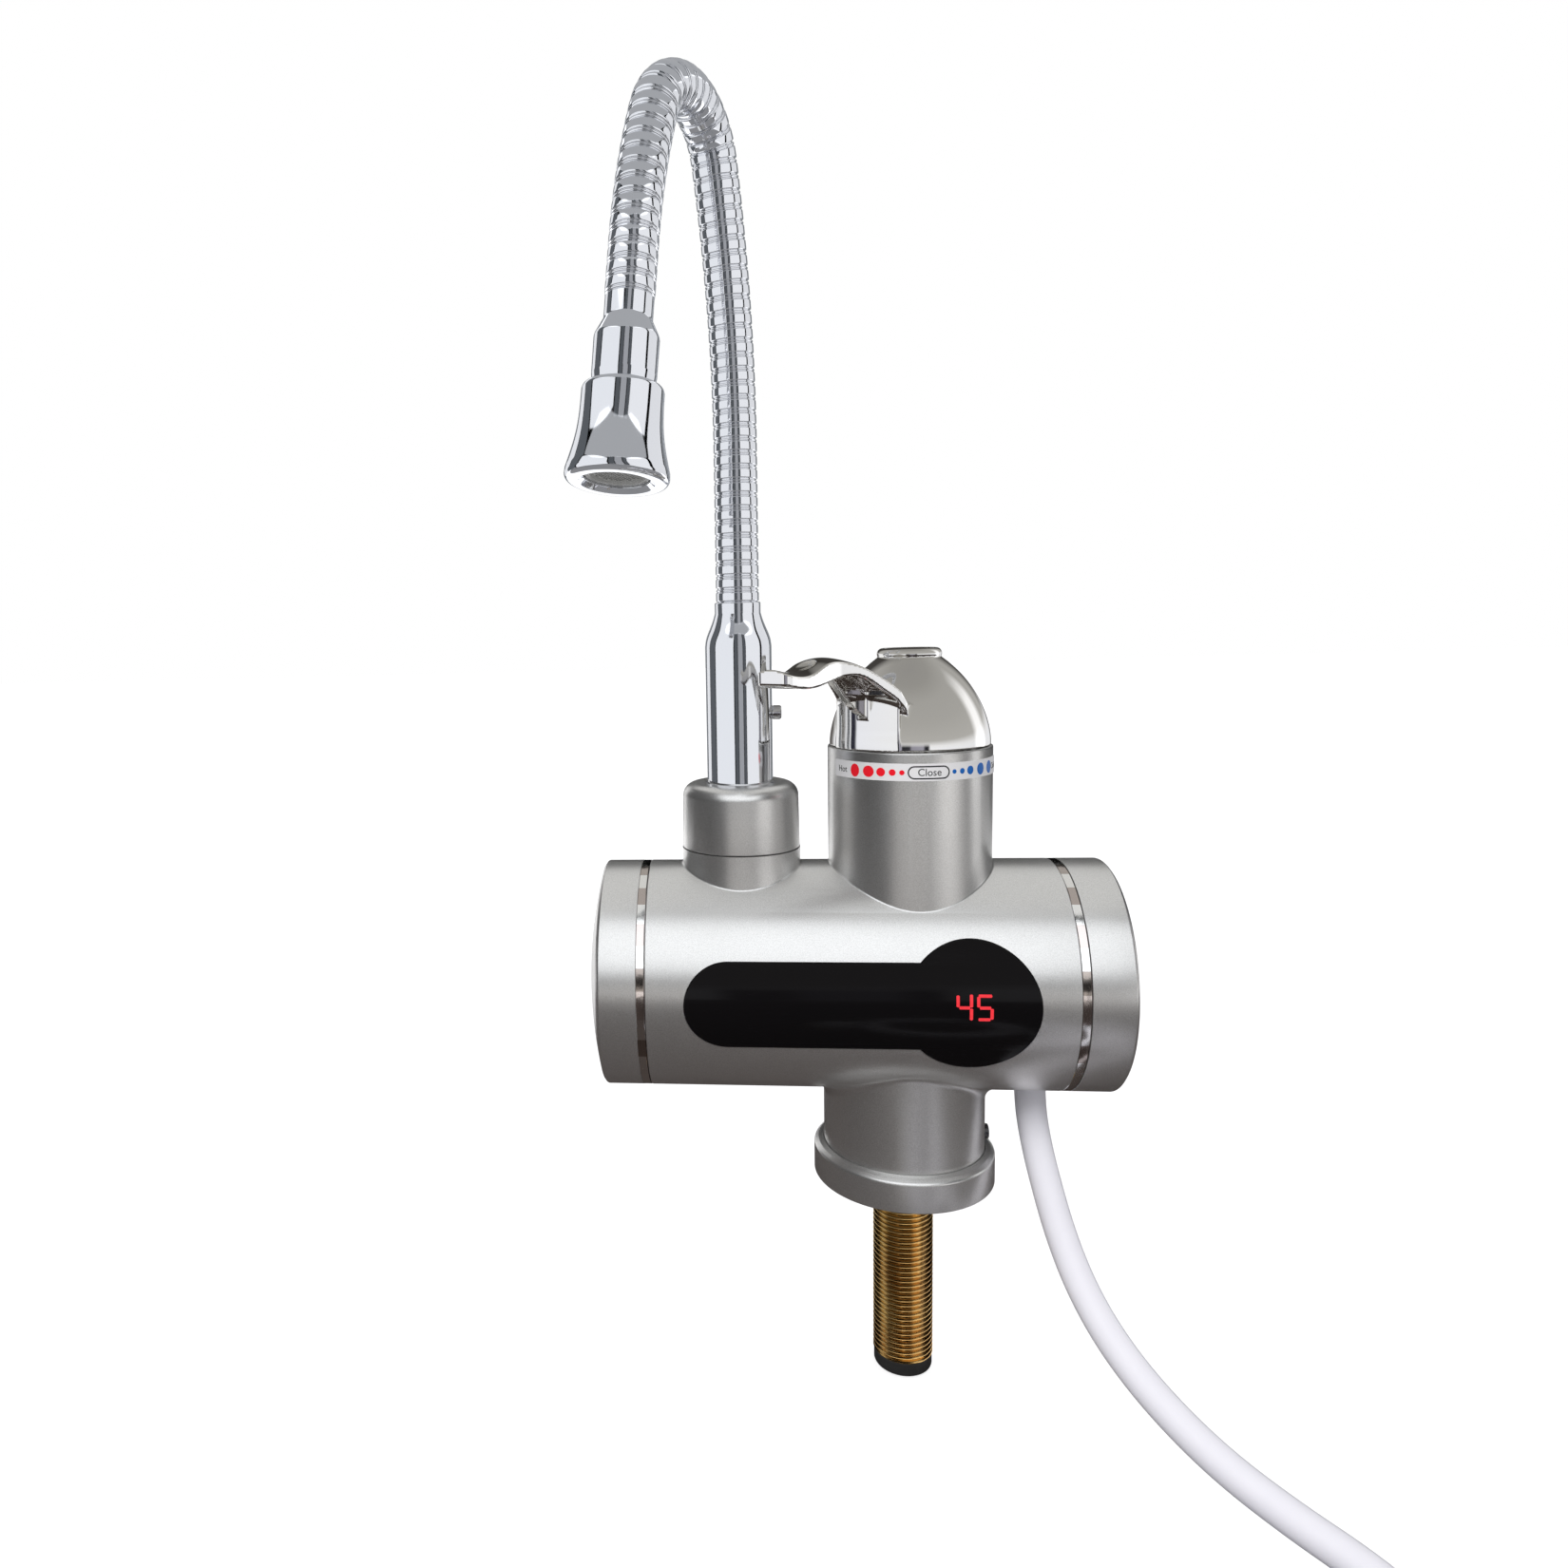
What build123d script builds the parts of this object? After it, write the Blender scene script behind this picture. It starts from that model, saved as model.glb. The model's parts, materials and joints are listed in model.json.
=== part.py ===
from build123d import *
import math
import os

# Electric instant water heater tap: a horizontal barrel housing on a round pedestal, with a lever tap in
# the turret above it and a swivelling gooseneck of ribbed hose. Millimetres, +Z up, +Y to the back.
# The origin is the middle of the flange's underside, where the tap stands on the sink deck.

# Fits and clearances
running_gap = 0.06          # radial, between pieces that turn or slide in each other
seat_gap = 0.15             # radial, between fixed pieces that slip together
seam_gap = 0.3              # between fixed casings that show a seam
turn_gap = 0.35             # between faces that pass each other

# Barrel housing
barrel_radius = 39.4
barrel_wall = 2.6
axis_height = 73.2
shell_left = -87.7
shell_right = 49.3
trim_width = 3.0
left_rim = -103.65
right_rim = 66.3
cap_wall = 2.5
cap_dome = 5.5
spigot_length = 7.0
spigot_wall = 2.4

# Turret, spout boss and pedestal neck, all moulded with the barrel
turret_x = 1.8
turret_radius = 27.4
turret_top = 153.3
riser_x = -55.8
boss_radius = 20.5
boss_top = 118.4
neck_radius = 27.66
neck_bottom = 6.0
neck_fillet = 4.5

# Base flange, its gasket and the threaded inlet shank
flange_radius = 31.16
flange_top = 12.0
flange_edge = 8.6
flange_lip = 29.6
gasket_outer = 27.0
gasket_inner = 23.0
gasket_depth = 2.2
shank_radius = 10.478
shank_bore = 6.5
shank_stem_radius = 10.0    # above the flange's underside, where the thread has ended
shank_bottom = -68.0
shank_top = 30.0
end_seal_radius = 10.2
end_seal_depth = 5.1
neck_screw_radius = 2.0
neck_screw_head = 2.6
neck_screw_height = 15.2

# Display window in the barrel's front, seen square from the front
slot_half = 14.2
slot_left = -75.05
lens_circle_radius = 21.2
lens_circle_x = 16.0
lens_height = 73.2
lens_proud = 0.5
lens_thickness = 2.4
board_thickness = 1.6
digit_x = 16.4
digit_height = 74.0

# Scale band stuck round the turret
band_bottom = 144.4
band_top = 150.0
band_thickness = 0.25
band_from = -68.0
band_to = 77.0

# Inner water body
column_radius = 14.4
foot_disc_top = 20.0
chamber_radius = 27.0
chamber_wall = 2.6
chamber_left = -84.0
chamber_right = -22.0
outlet_boss_radius = 15.5
outlet_boss_top = 126.0
tail_radius = 9.0
tail_bottom = 109.0
passage_radius = 5.0
cartridge_radius = 17.5
cartridge_seat = 104.0
cup_radius = 22.0
cup_top = 138.0
cartridge_neck = 12.7
cartridge_neck_top = 147.0
nut_height = 6.0
disc_radius = 12.2
disc_height = 5.6
port_radius = 3.0
port_spread = 6.0
spindle_radius = 5.0
spindle_top = 163.0

# Flow switch beside the column
switch_x = 30.0
switch_radius = 12.0
switch_bottom = 54.0
diaphragm_height = 64.0
diaphragm_thickness = 1.2
switch_cover_height = 9.0
switch_guide_top = 79.0
pin_radius = 2.0
pin_foot_radius = 6.0
pin_top = 80.2
pin_travel = 1.1

# Heating element, its cover and what is wired to it
element_radius = 3.6
element_spread = 12.0
element_reach = 47.0
cover_thickness = 4.0
power_board_radius = 31.0
standoff = 3.0

# Handle: a dome with a lever, over the turret
dome_radius = 26.74
dome_bottom = turret_top + turn_gap
skirt_depth = 4.2
dome_top = 183.3
dome_top_radius = 10.3
bead_radius = 10.65
bead_top = 186.2
cap_recess_radius = 8.5
lever_turn = 41.0
lever_reach = 73.5
lever_half = 6.2
lever_crown = 1.3
hood_from = -67.5
hood_to = -11.0
hood_radius = 26.7
lever_corner = 2.6
rib_half = 1.3

# Spout: collar nut, riser tube, ribbed hose and outlet
collar_radius = 20.35
collar_top_radius = 19.9
collar_top = 141.2
collar_round = 4.6
tube_radius = 11.35
tube_shoulder = 13.5
shoulder_height = 2.9
tube_straight_top = 188.0
neck_start = 198.0
hose_start = 203.2
tube_neck_radius = 7.8
tube_bore = 5.4
stud_height = 165.1
stud_radius = 2.45
stud_proud = 3.2
hose_turn = 26.0
hose_radius = 7.3
hose_groove = 0.5
hose_bore = 4.6
hose_rise = 50.6
hose_sweep_radii = (331.9, 20.5, 170.2)
hose_headings = (15.5, 154.8, 169.4)
hose_end_run = 15.6
rib_count = 55
ferrule_radius = 7.1
ferrule_length = 7.0
socket_radius = 9.5
socket_end = 25.6
bell_top_radius = 11.9
bell_start = 26.1
bell_end = 53.6
bell_radius = 15.0
bell_waist_radius = 12.5
aerator_radius = 9.4

# Mains cord, from the gland under the barrel to the plug
cord_radius = 5.25
cord_x = 43.2
gland_wall = 0.8
gland_flange = 7.8
gland_length = 13.0
surface = shank_bottom - end_seal_depth
tie_gap = 0.8
tie_thickness = 1.0
tie_width = 8.0
tie_angle = -45.0
cord_lie = surface + cord_radius + tie_gap + tie_thickness     # the strap passes under the coil
coil_centre = (64.0, -172.0)
coil_outer = 62.0
coil_pitch = 11.1
coil_start_angle = 3.0
coil_turns_in = 1.7
coil_climb_turns = 0.5
coil_tail_length = 26.0
plug_radius = cord_lie + coil_pitch - surface
plug_length = 40.0


def upright(radius, bottom, top, x=0.0, y=0.0):
    return Pos(x, y, (bottom + top) / 2) * Cylinder(radius, top - bottom)


def pipe(outer, inner, bottom, top, x=0.0, y=0.0):
    return upright(outer, bottom, top, x, y) - upright(inner, bottom, top, x, y)


def along_x(radius, left, right, y=0.0, z=axis_height):
    return Pos((left + right) / 2, y, z) * Rot(0, 90, 0) * Cylinder(radius, right - left)


def block(x_from, x_to, y_from, y_to, z_from, z_to):
    middle = ((x_from + x_to) / 2, (y_from + y_to) / 2, (z_from + z_to) / 2)
    return Pos(*middle) * Box(x_to - x_from, y_to - y_from, z_to - z_from)


def turned(edges, x=0.0, y=0.0):
    """A solid of revolution about the upright axis at x, y, from a closed outline of (radius, height)."""
    outline = Wire(edges) if isinstance(edges, list) else Wire([edges])
    face = Plane.XZ * make_face(outline.edges())
    return Pos(x, y, 0) * revolve(face, Axis.Z)


def stepped(points, x=0.0, y=0.0):
    return turned(Polyline(*points, close=True).edges(), x, y)


def save(shape, name):
    export_step(shape, "parts/" + name + ".step")


barrel_inner = barrel_radius - barrel_wall
turret_inner = turret_radius - barrel_wall
boss_inner = boss_radius - barrel_wall
neck_inner = neck_radius - barrel_wall


def lens_outline(clearance):
    """The window's key shape: a round-ended slot running into a circle, drawn from the front."""
    half = slot_half + clearance
    slot_length = lens_circle_x - slot_left
    slot_face = Pos((lens_circle_x + slot_left) / 2 + half / 2, 0) * Rectangle(slot_length - half, 2 * half)
    end_face = Pos(slot_left + slot_half, 0) * Circle(half)
    circle_face = Pos(lens_circle_x, 0) * Circle(lens_circle_radius + clearance)
    front = Plane((0, 0, lens_height), x_dir=(1, 0, 0), z_dir=(0, -1, 0))
    return front * (slot_face + end_face + circle_face)


def barrel_shell():
    """Barrel, turret, spout boss and pedestal neck as one thin-walled moulding, open at both ends."""
    outer = along_x(barrel_radius, shell_left, shell_right)
    outer += upright(neck_radius, neck_bottom, axis_height)
    meeting = [e for e in outer.edges() if e.geom_type == GeomType.BSPLINE or e.geom_type == GeomType.OTHER]
    outer = fillet(meeting, neck_fillet)
    outer += upright(turret_radius, axis_height, turret_top, turret_x)
    outer += upright(boss_radius, axis_height, boss_top, riser_x)
    inner = along_x(barrel_inner, shell_left - 1, shell_right + 1)
    inner += upright(neck_inner, neck_bottom - 1, axis_height)
    inner += upright(turret_inner, axis_height, turret_top + 1, turret_x)
    inner += upright(boss_inner, axis_height, boss_top + 1, riser_x)
    shell = outer - inner
    window = extrude(lens_outline(seat_gap), barrel_radius + 5, dir=(0, -1, 0))
    shell -= window
    shell -= upright(cord_radius + gland_wall, 20, axis_height, cord_x)
    screw_hole = along_x(neck_screw_radius + seat_gap, 20, neck_radius + 4, z=neck_screw_height)
    return shell - screw_hole


def turned_about_axis(edges):
    """A solid of revolution about the barrel's axis, from a closed outline of (x, radius)."""
    plane = Plane((0, 0, axis_height), x_dir=(1, 0, 0), z_dir=(0, -1, 0))
    face = plane * make_face(Wire(edges).edges())
    return revolve(face, Axis((0, 0, axis_height), (1, 0, 0)))


def end_cap(rim_x, ring_x, outward):
    """One end cap: a cup with a domed face, and a thinner spigot inside the trim ring and barrel."""
    ball = (barrel_radius ** 2 + cap_dome ** 2) / (2 * cap_dome)
    half = barrel_radius / 2
    sag = cap_dome - ball + math.sqrt(ball ** 2 - half ** 2)
    spigot_radius = barrel_inner - seat_gap
    spigot_end = ring_x - outward * spigot_length
    hollow_radius = spigot_radius - spigot_wall
    hollow_end = rim_x - outward * cap_wall
    face_arc = ThreePointArc((rim_x, barrel_radius), (rim_x + outward * sag, half), (rim_x + outward * cap_dome, 0))
    rest = Polyline((rim_x + outward * cap_dome, 0), (hollow_end, 0), (hollow_end, hollow_radius),
                    (spigot_end, hollow_radius), (spigot_end, spigot_radius), (ring_x, spigot_radius),
                    (ring_x, barrel_radius), (rim_x, barrel_radius))
    return turned_about_axis([face_arc] + rest.edges())


def left_end_cap():
    """Also carries three standoffs for the power board."""
    cap = end_cap(left_rim, shell_left - trim_width, -1)
    face_x = left_rim + cap_wall
    for place in range(3):
        angle = math.radians(90 + 120 * place)
        y = (power_board_radius - 4) * math.cos(angle)
        z = axis_height + (power_board_radius - 4) * math.sin(angle)
        cap += along_x(2.6, face_x - 0.5, face_x + standoff, y, z)
    return cap


def right_end_cap():
    """Its spigot is notched where the cord's gland comes through the barrel."""
    cap = end_cap(right_rim, shell_right + trim_width, 1)
    return cap - upright(gland_flange + seam_gap, 30, axis_height - 20, cord_x)


def trim_ring(left):
    outer = along_x(barrel_radius, left, left + trim_width)
    return outer - along_x(barrel_inner, left - 1, left + trim_width + 1)


def display_lens():
    """The gloss window, curved with the barrel, with two posts behind it for the display board."""
    skin = along_x(barrel_radius + lens_proud, shell_left, shell_right)
    skin -= along_x(barrel_radius + lens_proud - lens_thickness, shell_left - 1, shell_right + 1)
    lens = skin & extrude(lens_outline(0), barrel_radius + 5, dir=(0, -1, 0))
    for x, z in board_posts():
        back, front = board_face(), -barrel_inner - 0.4
        lens += Pos(x, (back + front) / 2, z) * Rot(90, 0, 0) * Cylinder(2.0, back - front)
    return lens


def board_face():
    """Where the display board's front face stands, as a distance along Y."""
    return -31.0


def board_posts():
    return [(lens_circle_x - 10, lens_height + 8), (lens_circle_x + 12, lens_height - 10)]


def display_board():
    board = block(0.0, 33.0, board_face(), board_face() + board_thickness, lens_height - 15, lens_height + 14)
    return board


def digit_display():
    """Two-figure seven-segment block on the display board, just behind the window."""
    half_width = 7.2
    half_height = 6.0
    return block(digit_x - half_width, digit_x + half_width, board_face() - 4.6, board_face(),
                 digit_height - half_height, digit_height + half_height)


def base_flange():
    """Round foot ring: a groove in its top takes the pedestal neck, one in its underside the gasket."""
    shoulder = ThreePointArc((flange_radius, flange_edge), (flange_radius - 0.7, flange_edge + 1.6),
                             (flange_lip, flange_top - 0.75))
    inner = shank_stem_radius + seat_gap
    rim = neck_radius + seat_gap
    plug = neck_inner - seat_gap
    outline = [Line((inner, 0), (flange_radius, 0)),
               Line((flange_radius, 0), (flange_radius, flange_edge)),
               shoulder,
               Line((flange_lip, flange_top - 0.75), (rim, flange_top)),
               Line((rim, flange_top), (rim, neck_bottom)),
               Line((rim, neck_bottom), (plug, neck_bottom)),
               Line((plug, neck_bottom), (plug, flange_top)),
               Line((plug, flange_top), (inner, flange_top)),
               Line((inner, flange_top), (inner, 0))]
    return turned(outline) - pipe(gasket_outer, gasket_inner, 0, gasket_depth)


def base_gasket():
    return pipe(gasket_outer - seat_gap, gasket_inner + seat_gap, 0, gasket_depth)


def inlet_shank():
    """Half-inch brass inlet, plain where its thread runs; its shoulder bears on the flange's underside."""
    threaded = pipe(shank_radius, shank_bore, shank_bottom, 0)
    return threaded + pipe(shank_stem_radius, shank_bore, 0, shank_top)


def shank_end_seal():
    """Rubber seal ring on the shank's lower end, with a turned-in lower edge."""
    outline = [(shank_bore, shank_bottom), (end_seal_radius, shank_bottom),
               (end_seal_radius, surface + 1.2), (end_seal_radius - 1.2, surface), (shank_bore, surface)]
    return stepped(outline)


def neck_screw():
    """Clamp screw through the neck's side into the water body's foot."""
    tip = column_radius + 1.0
    screw = along_x(neck_screw_radius, tip, neck_radius + 0.1, z=neck_screw_height)
    head = along_x(neck_screw_head, neck_radius + 0.1, neck_radius + 1.7, z=neck_screw_height)
    socket = along_x(1.2, neck_radius + 0.6, neck_radius + 1.8, z=neck_screw_height)
    return screw + head - socket


def water_body():
    """Inner moulding: inlet column, cartridge cup, heating chamber, spout outlet and flow switch cup."""
    foot = upright(neck_inner - seat_gap, flange_top, foot_disc_top)
    body = foot + upright(column_radius, flange_top, cup_top - 30)
    cup_bottom = cartridge_seat - 6
    body += upright(cup_radius, cup_bottom, cup_top, turret_x)
    body += along_x(chamber_radius, chamber_left, chamber_right)
    body += along_x(passage_radius + 4, chamber_right - 1, 0)
    body += upright(outlet_boss_radius, axis_height + 10, outlet_boss_top, riser_x)
    body += along_x(passage_radius, 0, switch_x, z=switch_bottom + 3)
    body += upright(switch_radius, switch_bottom - 4, diaphragm_height, switch_x)
    body -= upright(cartridge_radius + seat_gap, cartridge_seat, cup_top + 1, turret_x)
    body -= along_x(chamber_radius - chamber_wall, chamber_left - 1, chamber_right - 4)
    body -= upright(shank_stem_radius + seat_gap, flange_top - 1, shank_top + seat_gap)
    body -= upright(shank_stem_radius, shank_top, shank_top + 4)
    body -= upright(port_radius, shank_top, cartridge_seat + 1, turret_x + port_spread)
    body -= upright(port_radius, axis_height, cartridge_seat + 1, turret_x - port_spread)
    body -= along_x(port_radius, chamber_right - 6, turret_x - port_spread)
    body -= along_x(passage_radius - 2, 0, switch_x, z=switch_bottom + 3)
    body -= upright(switch_radius - 3, switch_bottom, diaphragm_height + 1, switch_x)
    body -= upright(passage_radius, axis_height + 10, tail_bottom, riser_x)
    body -= upright(tail_radius + running_gap, tail_bottom - turn_gap, outlet_boss_top + 1, riser_x)
    return body - along_x(neck_screw_radius + 0.05, tip_of_neck_screw(), neck_radius, z=neck_screw_height)


def tip_of_neck_screw():
    return column_radius + 1.0


def chamber_cover():
    """Lid of the heating chamber, pierced for the two legs of the heating element."""
    lid = along_x(chamber_radius, chamber_left - cover_thickness, chamber_left - 0.8)
    lid += along_x(chamber_radius - chamber_wall - seat_gap, chamber_left - 0.8, chamber_left + 3)
    for side in (-1, 1):
        leg_z = axis_height + side * element_spread
        lid -= along_x(element_radius + 0.05, chamber_left - 10, chamber_left + 10, z=leg_z)
    return lid


def chamber_seal():
    outer = along_x(chamber_radius, chamber_left - 0.8, chamber_left)
    return outer - along_x(chamber_radius - chamber_wall, chamber_left - 1, chamber_left + 1)


def heating_element():
    """Hairpin of sheathed heating tube standing in the water chamber."""
    start_x = chamber_left - cover_thickness - 2
    bend_x = start_x + element_reach
    upper = axis_height + element_spread
    lower = axis_height - element_spread
    path = Wire([Line((start_x, 0, upper), (bend_x, 0, upper)),
                 ThreePointArc((bend_x, 0, upper), (bend_x + element_spread, 0, axis_height), (bend_x, 0, lower)),
                 Line((bend_x, 0, lower), (start_x, 0, lower))])
    section = Plane((start_x, 0, upper), z_dir=(1, 0, 0)) * Circle(element_radius)
    return sweep(section, path)


def element_terminals():
    """Two connection tags on the ends of the heating element."""
    start_x = chamber_left - cover_thickness - 2
    tags = []
    for side in (-1, 1):
        z = axis_height + side * element_spread
        tags.append(along_x(1.6, start_x - 3.4, start_x, z=z))
    return Compound(children=tags)


def power_board():
    """Round control board in the left cap, cut away where the element's tags stand."""
    left = left_rim + cap_wall + standoff
    return along_x(power_board_radius, left, left + board_thickness)


def power_relay():
    right = left_rim + cap_wall + standoff + board_thickness
    return block(right, right + 7.0, 12.0, 24.0, axis_height - 8, axis_height + 8)


def thermal_cutout():
    """Snap-disc thermostat on the chamber cover."""
    face = chamber_left - cover_thickness
    can = along_x(7.0, face - 4.2, face, y=-14.0)
    return can + block(face - 3.2, face - 2.2, -25.0, -14.0, axis_height - 2.5, axis_height + 2.5)


def temperature_probe():
    """Small sensor rod let into the side of the outlet boss."""
    centre_z = 104.6
    inner, outer = passage_radius - 1.0, outlet_boss_radius + 1.4
    return Pos(riser_x, (inner + outer) / 2, centre_z) * Rot(90, 0, 0) * Cylinder(1.6, outer - inner)


def outlet_with_probe_hole(body):
    hole = Pos(riser_x, 12, 104.6) * Rot(90, 0, 0) * Cylinder(1.6 + 0.05, 18)
    return body - hole


def diaphragm():
    """Rubber disc that the water pressure lifts."""
    return upright(switch_radius, diaphragm_height, diaphragm_height + diaphragm_thickness, switch_x)


def switch_cover():
    """Cover over the diaphragm: guides the push pin, and its plate carries the microswitch."""
    bottom = diaphragm_height + diaphragm_thickness
    top = bottom + switch_cover_height
    cover = upright(switch_radius, bottom, top, switch_x)
    cover += upright(4.2, top - 1, switch_guide_top, switch_x)
    cover -= upright(8.6, bottom, top - 1.6, switch_x)
    cover -= upright(pin_radius + running_gap, bottom, switch_guide_top + 1, switch_x)
    return cover + block(switch_x - 9, switch_x + 9, 6.5, 8.5, top - 2, 93)


def push_pin():
    """Pin with a foot on the diaphragm; it rises to press the microswitch."""
    bottom = diaphragm_height + diaphragm_thickness + 0.1
    pin = upright(pin_foot_radius, bottom, bottom + 1.2, switch_x)
    return pin + upright(pin_radius, bottom + 1.2, pin_top, switch_x)


def microswitch():
    bottom = pin_top + pin_travel + 0.3
    return block(switch_x - 9, switch_x + 9, -3.5, 6.5, bottom, bottom + 9)


def quarter_arcs(points, tangents):
    """Pairs of tangent arcs that join each point to the next with the tangents given."""
    edges = []
    for i in range(len(points) - 1):
        p0, p1 = Vector(*points[i]), Vector(*points[i + 1])
        t0, t1 = Vector(*tangents[i]).normalized(), Vector(*tangents[i + 1]).normalized()
        chord = p1 - p0
        total = t0 + t1
        a = 2 * (t0.dot(t1) - 1)
        b = -2 * chord.dot(total)
        c = chord.dot(chord)
        reach = (-b - math.sqrt(b * b - 4 * a * c)) / (2 * a) if abs(a) > 1e-9 else -c / b
        if reach < 0:
            reach = (-b + math.sqrt(b * b - 4 * a * c)) / (2 * a)
        corner0, corner1 = p0 + t0 * reach, p1 - t1 * reach
        middle = (corner0 + corner1) * 0.5
        through = (corner1 - corner0).normalized()
        edges.append(TangentArc(tuple(p0), tuple(middle), tangent=tuple(t0)))
        edges.append(TangentArc(tuple(middle), tuple(p1), tangent=tuple(through)))
    return edges


def return_spring():
    """Coil spring between the pin's foot and the cover's roof."""
    wire = 0.45
    radius = 4.2
    bottom = diaphragm_height + diaphragm_thickness + 1.3 + wire + 0.1
    top = diaphragm_height + diaphragm_thickness + switch_cover_height - 1.6 - wire - 0.1
    turns = 3
    steps = 4 * turns
    points, tangents = [], []
    for i in range(steps + 1):
        angle = math.pi / 2 * i
        climb = (top - bottom) / steps
        points.append((switch_x + radius * math.cos(angle), radius * math.sin(angle), bottom + climb * i))
        tangents.append((-radius * math.sin(angle), radius * math.cos(angle), climb / (math.pi / 2)))
    path = Wire(quarter_arcs(points, tangents))
    section = Plane(points[0], z_dir=tangents[0]) * Circle(wire)
    return sweep(section, path)


def terminal_block():
    """Mains terminals on the right cap's inner face."""
    right = right_rim - cap_wall
    body = block(right - 13, right, -14, 14, axis_height - 14, axis_height - 2)
    for row in (-9, 0, 9):
        body -= upright(2.4, axis_height - 7, axis_height, right - 6.5, row)
    return body


def terminal_screws():
    right = right_rim - cap_wall
    screws = []
    for row in (-9, 0, 9):
        screws.append(upright(2.2, axis_height - 7, axis_height - 3.4, right - 6.5, row))
    return Compound(children=screws)


def scale_band():
    """Printed band round the turret's front."""
    ring = pipe(turret_radius + band_thickness, turret_radius, band_bottom, band_top, turret_x)
    span = band_to - band_from
    wedge = Pos(turret_x, 0, band_bottom) * Rot(0, 0, band_from - 90) * wedge_prism(60, span, band_top - band_bottom)
    return ring & wedge


def wedge_prism(radius, span, height):
    """A sector from angle 0 to span, drawn as a polygon that reaches past radius."""
    corners = [(0, 0)]
    pieces = max(2, math.ceil(span / 60))
    far = radius / math.cos(math.radians(span / pieces / 2))
    for i in range(pieces + 1):
        angle = math.radians(span * i / pieces)
        corners.append((far * math.cos(angle), far * math.sin(angle)))
    return extrude(make_face(Polyline(*corners, close=True)), height)


def cartridge_body():
    """Shell of the disc cartridge, with its ports below and the spindle's bearing above."""
    cavity_bottom = cartridge_seat + 2
    cavity_top = cavity_bottom + 2 * disc_height + 4
    shell = upright(cartridge_radius, cartridge_seat + 0.8, cup_top, turret_x)
    shell += upright(cartridge_neck, cup_top, cartridge_neck_top, turret_x)
    shell -= upright(disc_radius + running_gap, cavity_bottom, cavity_top, turret_x)
    shell -= upright(spindle_radius + running_gap, cavity_bottom, cartridge_neck_top + 1, turret_x)
    for side in (-1, 1):
        shell -= upright(port_radius, cartridge_seat, cavity_bottom + 1, turret_x + port_spread * side)
    return shell


def cartridge_seals():
    """Two port seals between the cartridge and the bottom of its cup."""
    seals = []
    for side in (-1, 1):
        middle = turret_x + port_spread * side
        seals.append(pipe(port_radius + 1.2, port_radius, cartridge_seat, cartridge_seat + 0.8, middle))
    return Compound(children=seals)


def fixed_disc():
    """Lower ceramic disc, keyed in the cartridge, with its two ports."""
    bottom = cartridge_seat + 2
    disc = upright(disc_radius, bottom, bottom + disc_height, turret_x)
    for side in (-1, 1):
        disc -= upright(port_radius, bottom, bottom + disc_height, turret_x + port_spread * side)
    return disc


def turning_disc():
    """Upper ceramic disc, whose passage links the ports as it turns."""
    bottom = cartridge_seat + 2 + disc_height + 0.05
    disc = upright(disc_radius, bottom, bottom + disc_height - 0.1, turret_x)
    passage = Pos(turret_x, 0, bottom) * extrude(SlotOverall(2 * (port_spread + port_radius) - 1, 2 * port_radius), 2.5)
    return disc - passage


def spindle():
    """Turned spindle: a drive plate on the upper disc, and a square-cut head inside the handle."""
    plate_bottom = cartridge_seat + 2 + 2 * disc_height
    stem = upright(spindle_radius, plate_bottom, spindle_top, turret_x)
    stem += upright(disc_radius - 3, plate_bottom, plate_bottom + 3.4, turret_x)
    return stem - upright(1.7, spindle_top - 12, spindle_top, turret_x)


def cartridge_nut():
    """Brass ring nut that holds the cartridge down; spanner flats in its rim."""
    nut = pipe(turret_inner - seat_gap, cartridge_neck + seat_gap, cup_top, cup_top + nut_height, turret_x)
    for place in range(6):
        notch = Pos(turret_x, 0, 0) * Rot(0, 0, 60 * place) * block(20.5, 26, -2.5, 2.5, cup_top + 3, cup_top + 7)
        nut -= notch
    return nut


def lever_direction():
    """Unit vectors along the lever, away from the turret, and across it to its right as it points."""
    turn = math.radians(lever_turn)
    return Vector(-math.sin(turn), -math.cos(turn), 0), Vector(-math.cos(turn), math.sin(turn), 0)


def lever_section(reach, half, underside, edge, crown):
    """Cross-section of the lever at a distance from the turret's axis, with a crowned top."""
    out, across = lever_direction()
    centre = Vector(turret_x, 0, 0) + out * reach

    def at(side, height):
        return tuple(centre + across * side + Vector(0, 0, height))

    top = ThreePointArc(at(-half, edge), at(0, edge + crown), at(half, edge))
    sides = [Line(at(half, edge), at(half, underside)), Line(at(half, underside), at(-half, underside)),
             Line(at(-half, underside), at(-half, edge))]
    return Face(Wire([top] + sides))


def lever_profile():
    """Distance, half width, underside and upper edge of the lever, from the tip in to the dome."""
    return [(lever_reach, lever_half - 0.1, 177.4, 181.1),
            (60.0, lever_half, 176.1, 180.6),
            (54.5, lever_half, 177.0, 182.8),
            (50.0, lever_half, 178.0, 183.6),
            (44.5, lever_half + 0.3, 178.9, 183.2),
            (38.0, 8.3, 178.2, 181.5),
            (30.0, 10.7, 173.4, 177.4),
            (23.5, 12.6, 168.6, 172.8),
            (17.0, 12.9, 161.0, 166.0)]


def lever_blade():
    """Paddle and arching arm, lofted through sections from the tip into the dome."""
    sections = [lever_section(*row, lever_crown) for row in lever_profile()]
    blade = loft(sections)
    out, across = lever_direction()
    plan = Plane((turret_x, 0, 150), x_dir=tuple(out), z_dir=(0, 0, 1))
    paddle_length = lever_reach - 30
    paddle = RectangleRounded(paddle_length * 2, 2 * lever_half + 0.4, lever_corner)
    tip = plan * Pos(lever_reach - paddle_length, 0) * paddle
    root = plan * Pos(15, 0) * Rectangle(60, 60)
    return blade & extrude(tip + root, 50)


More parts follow.
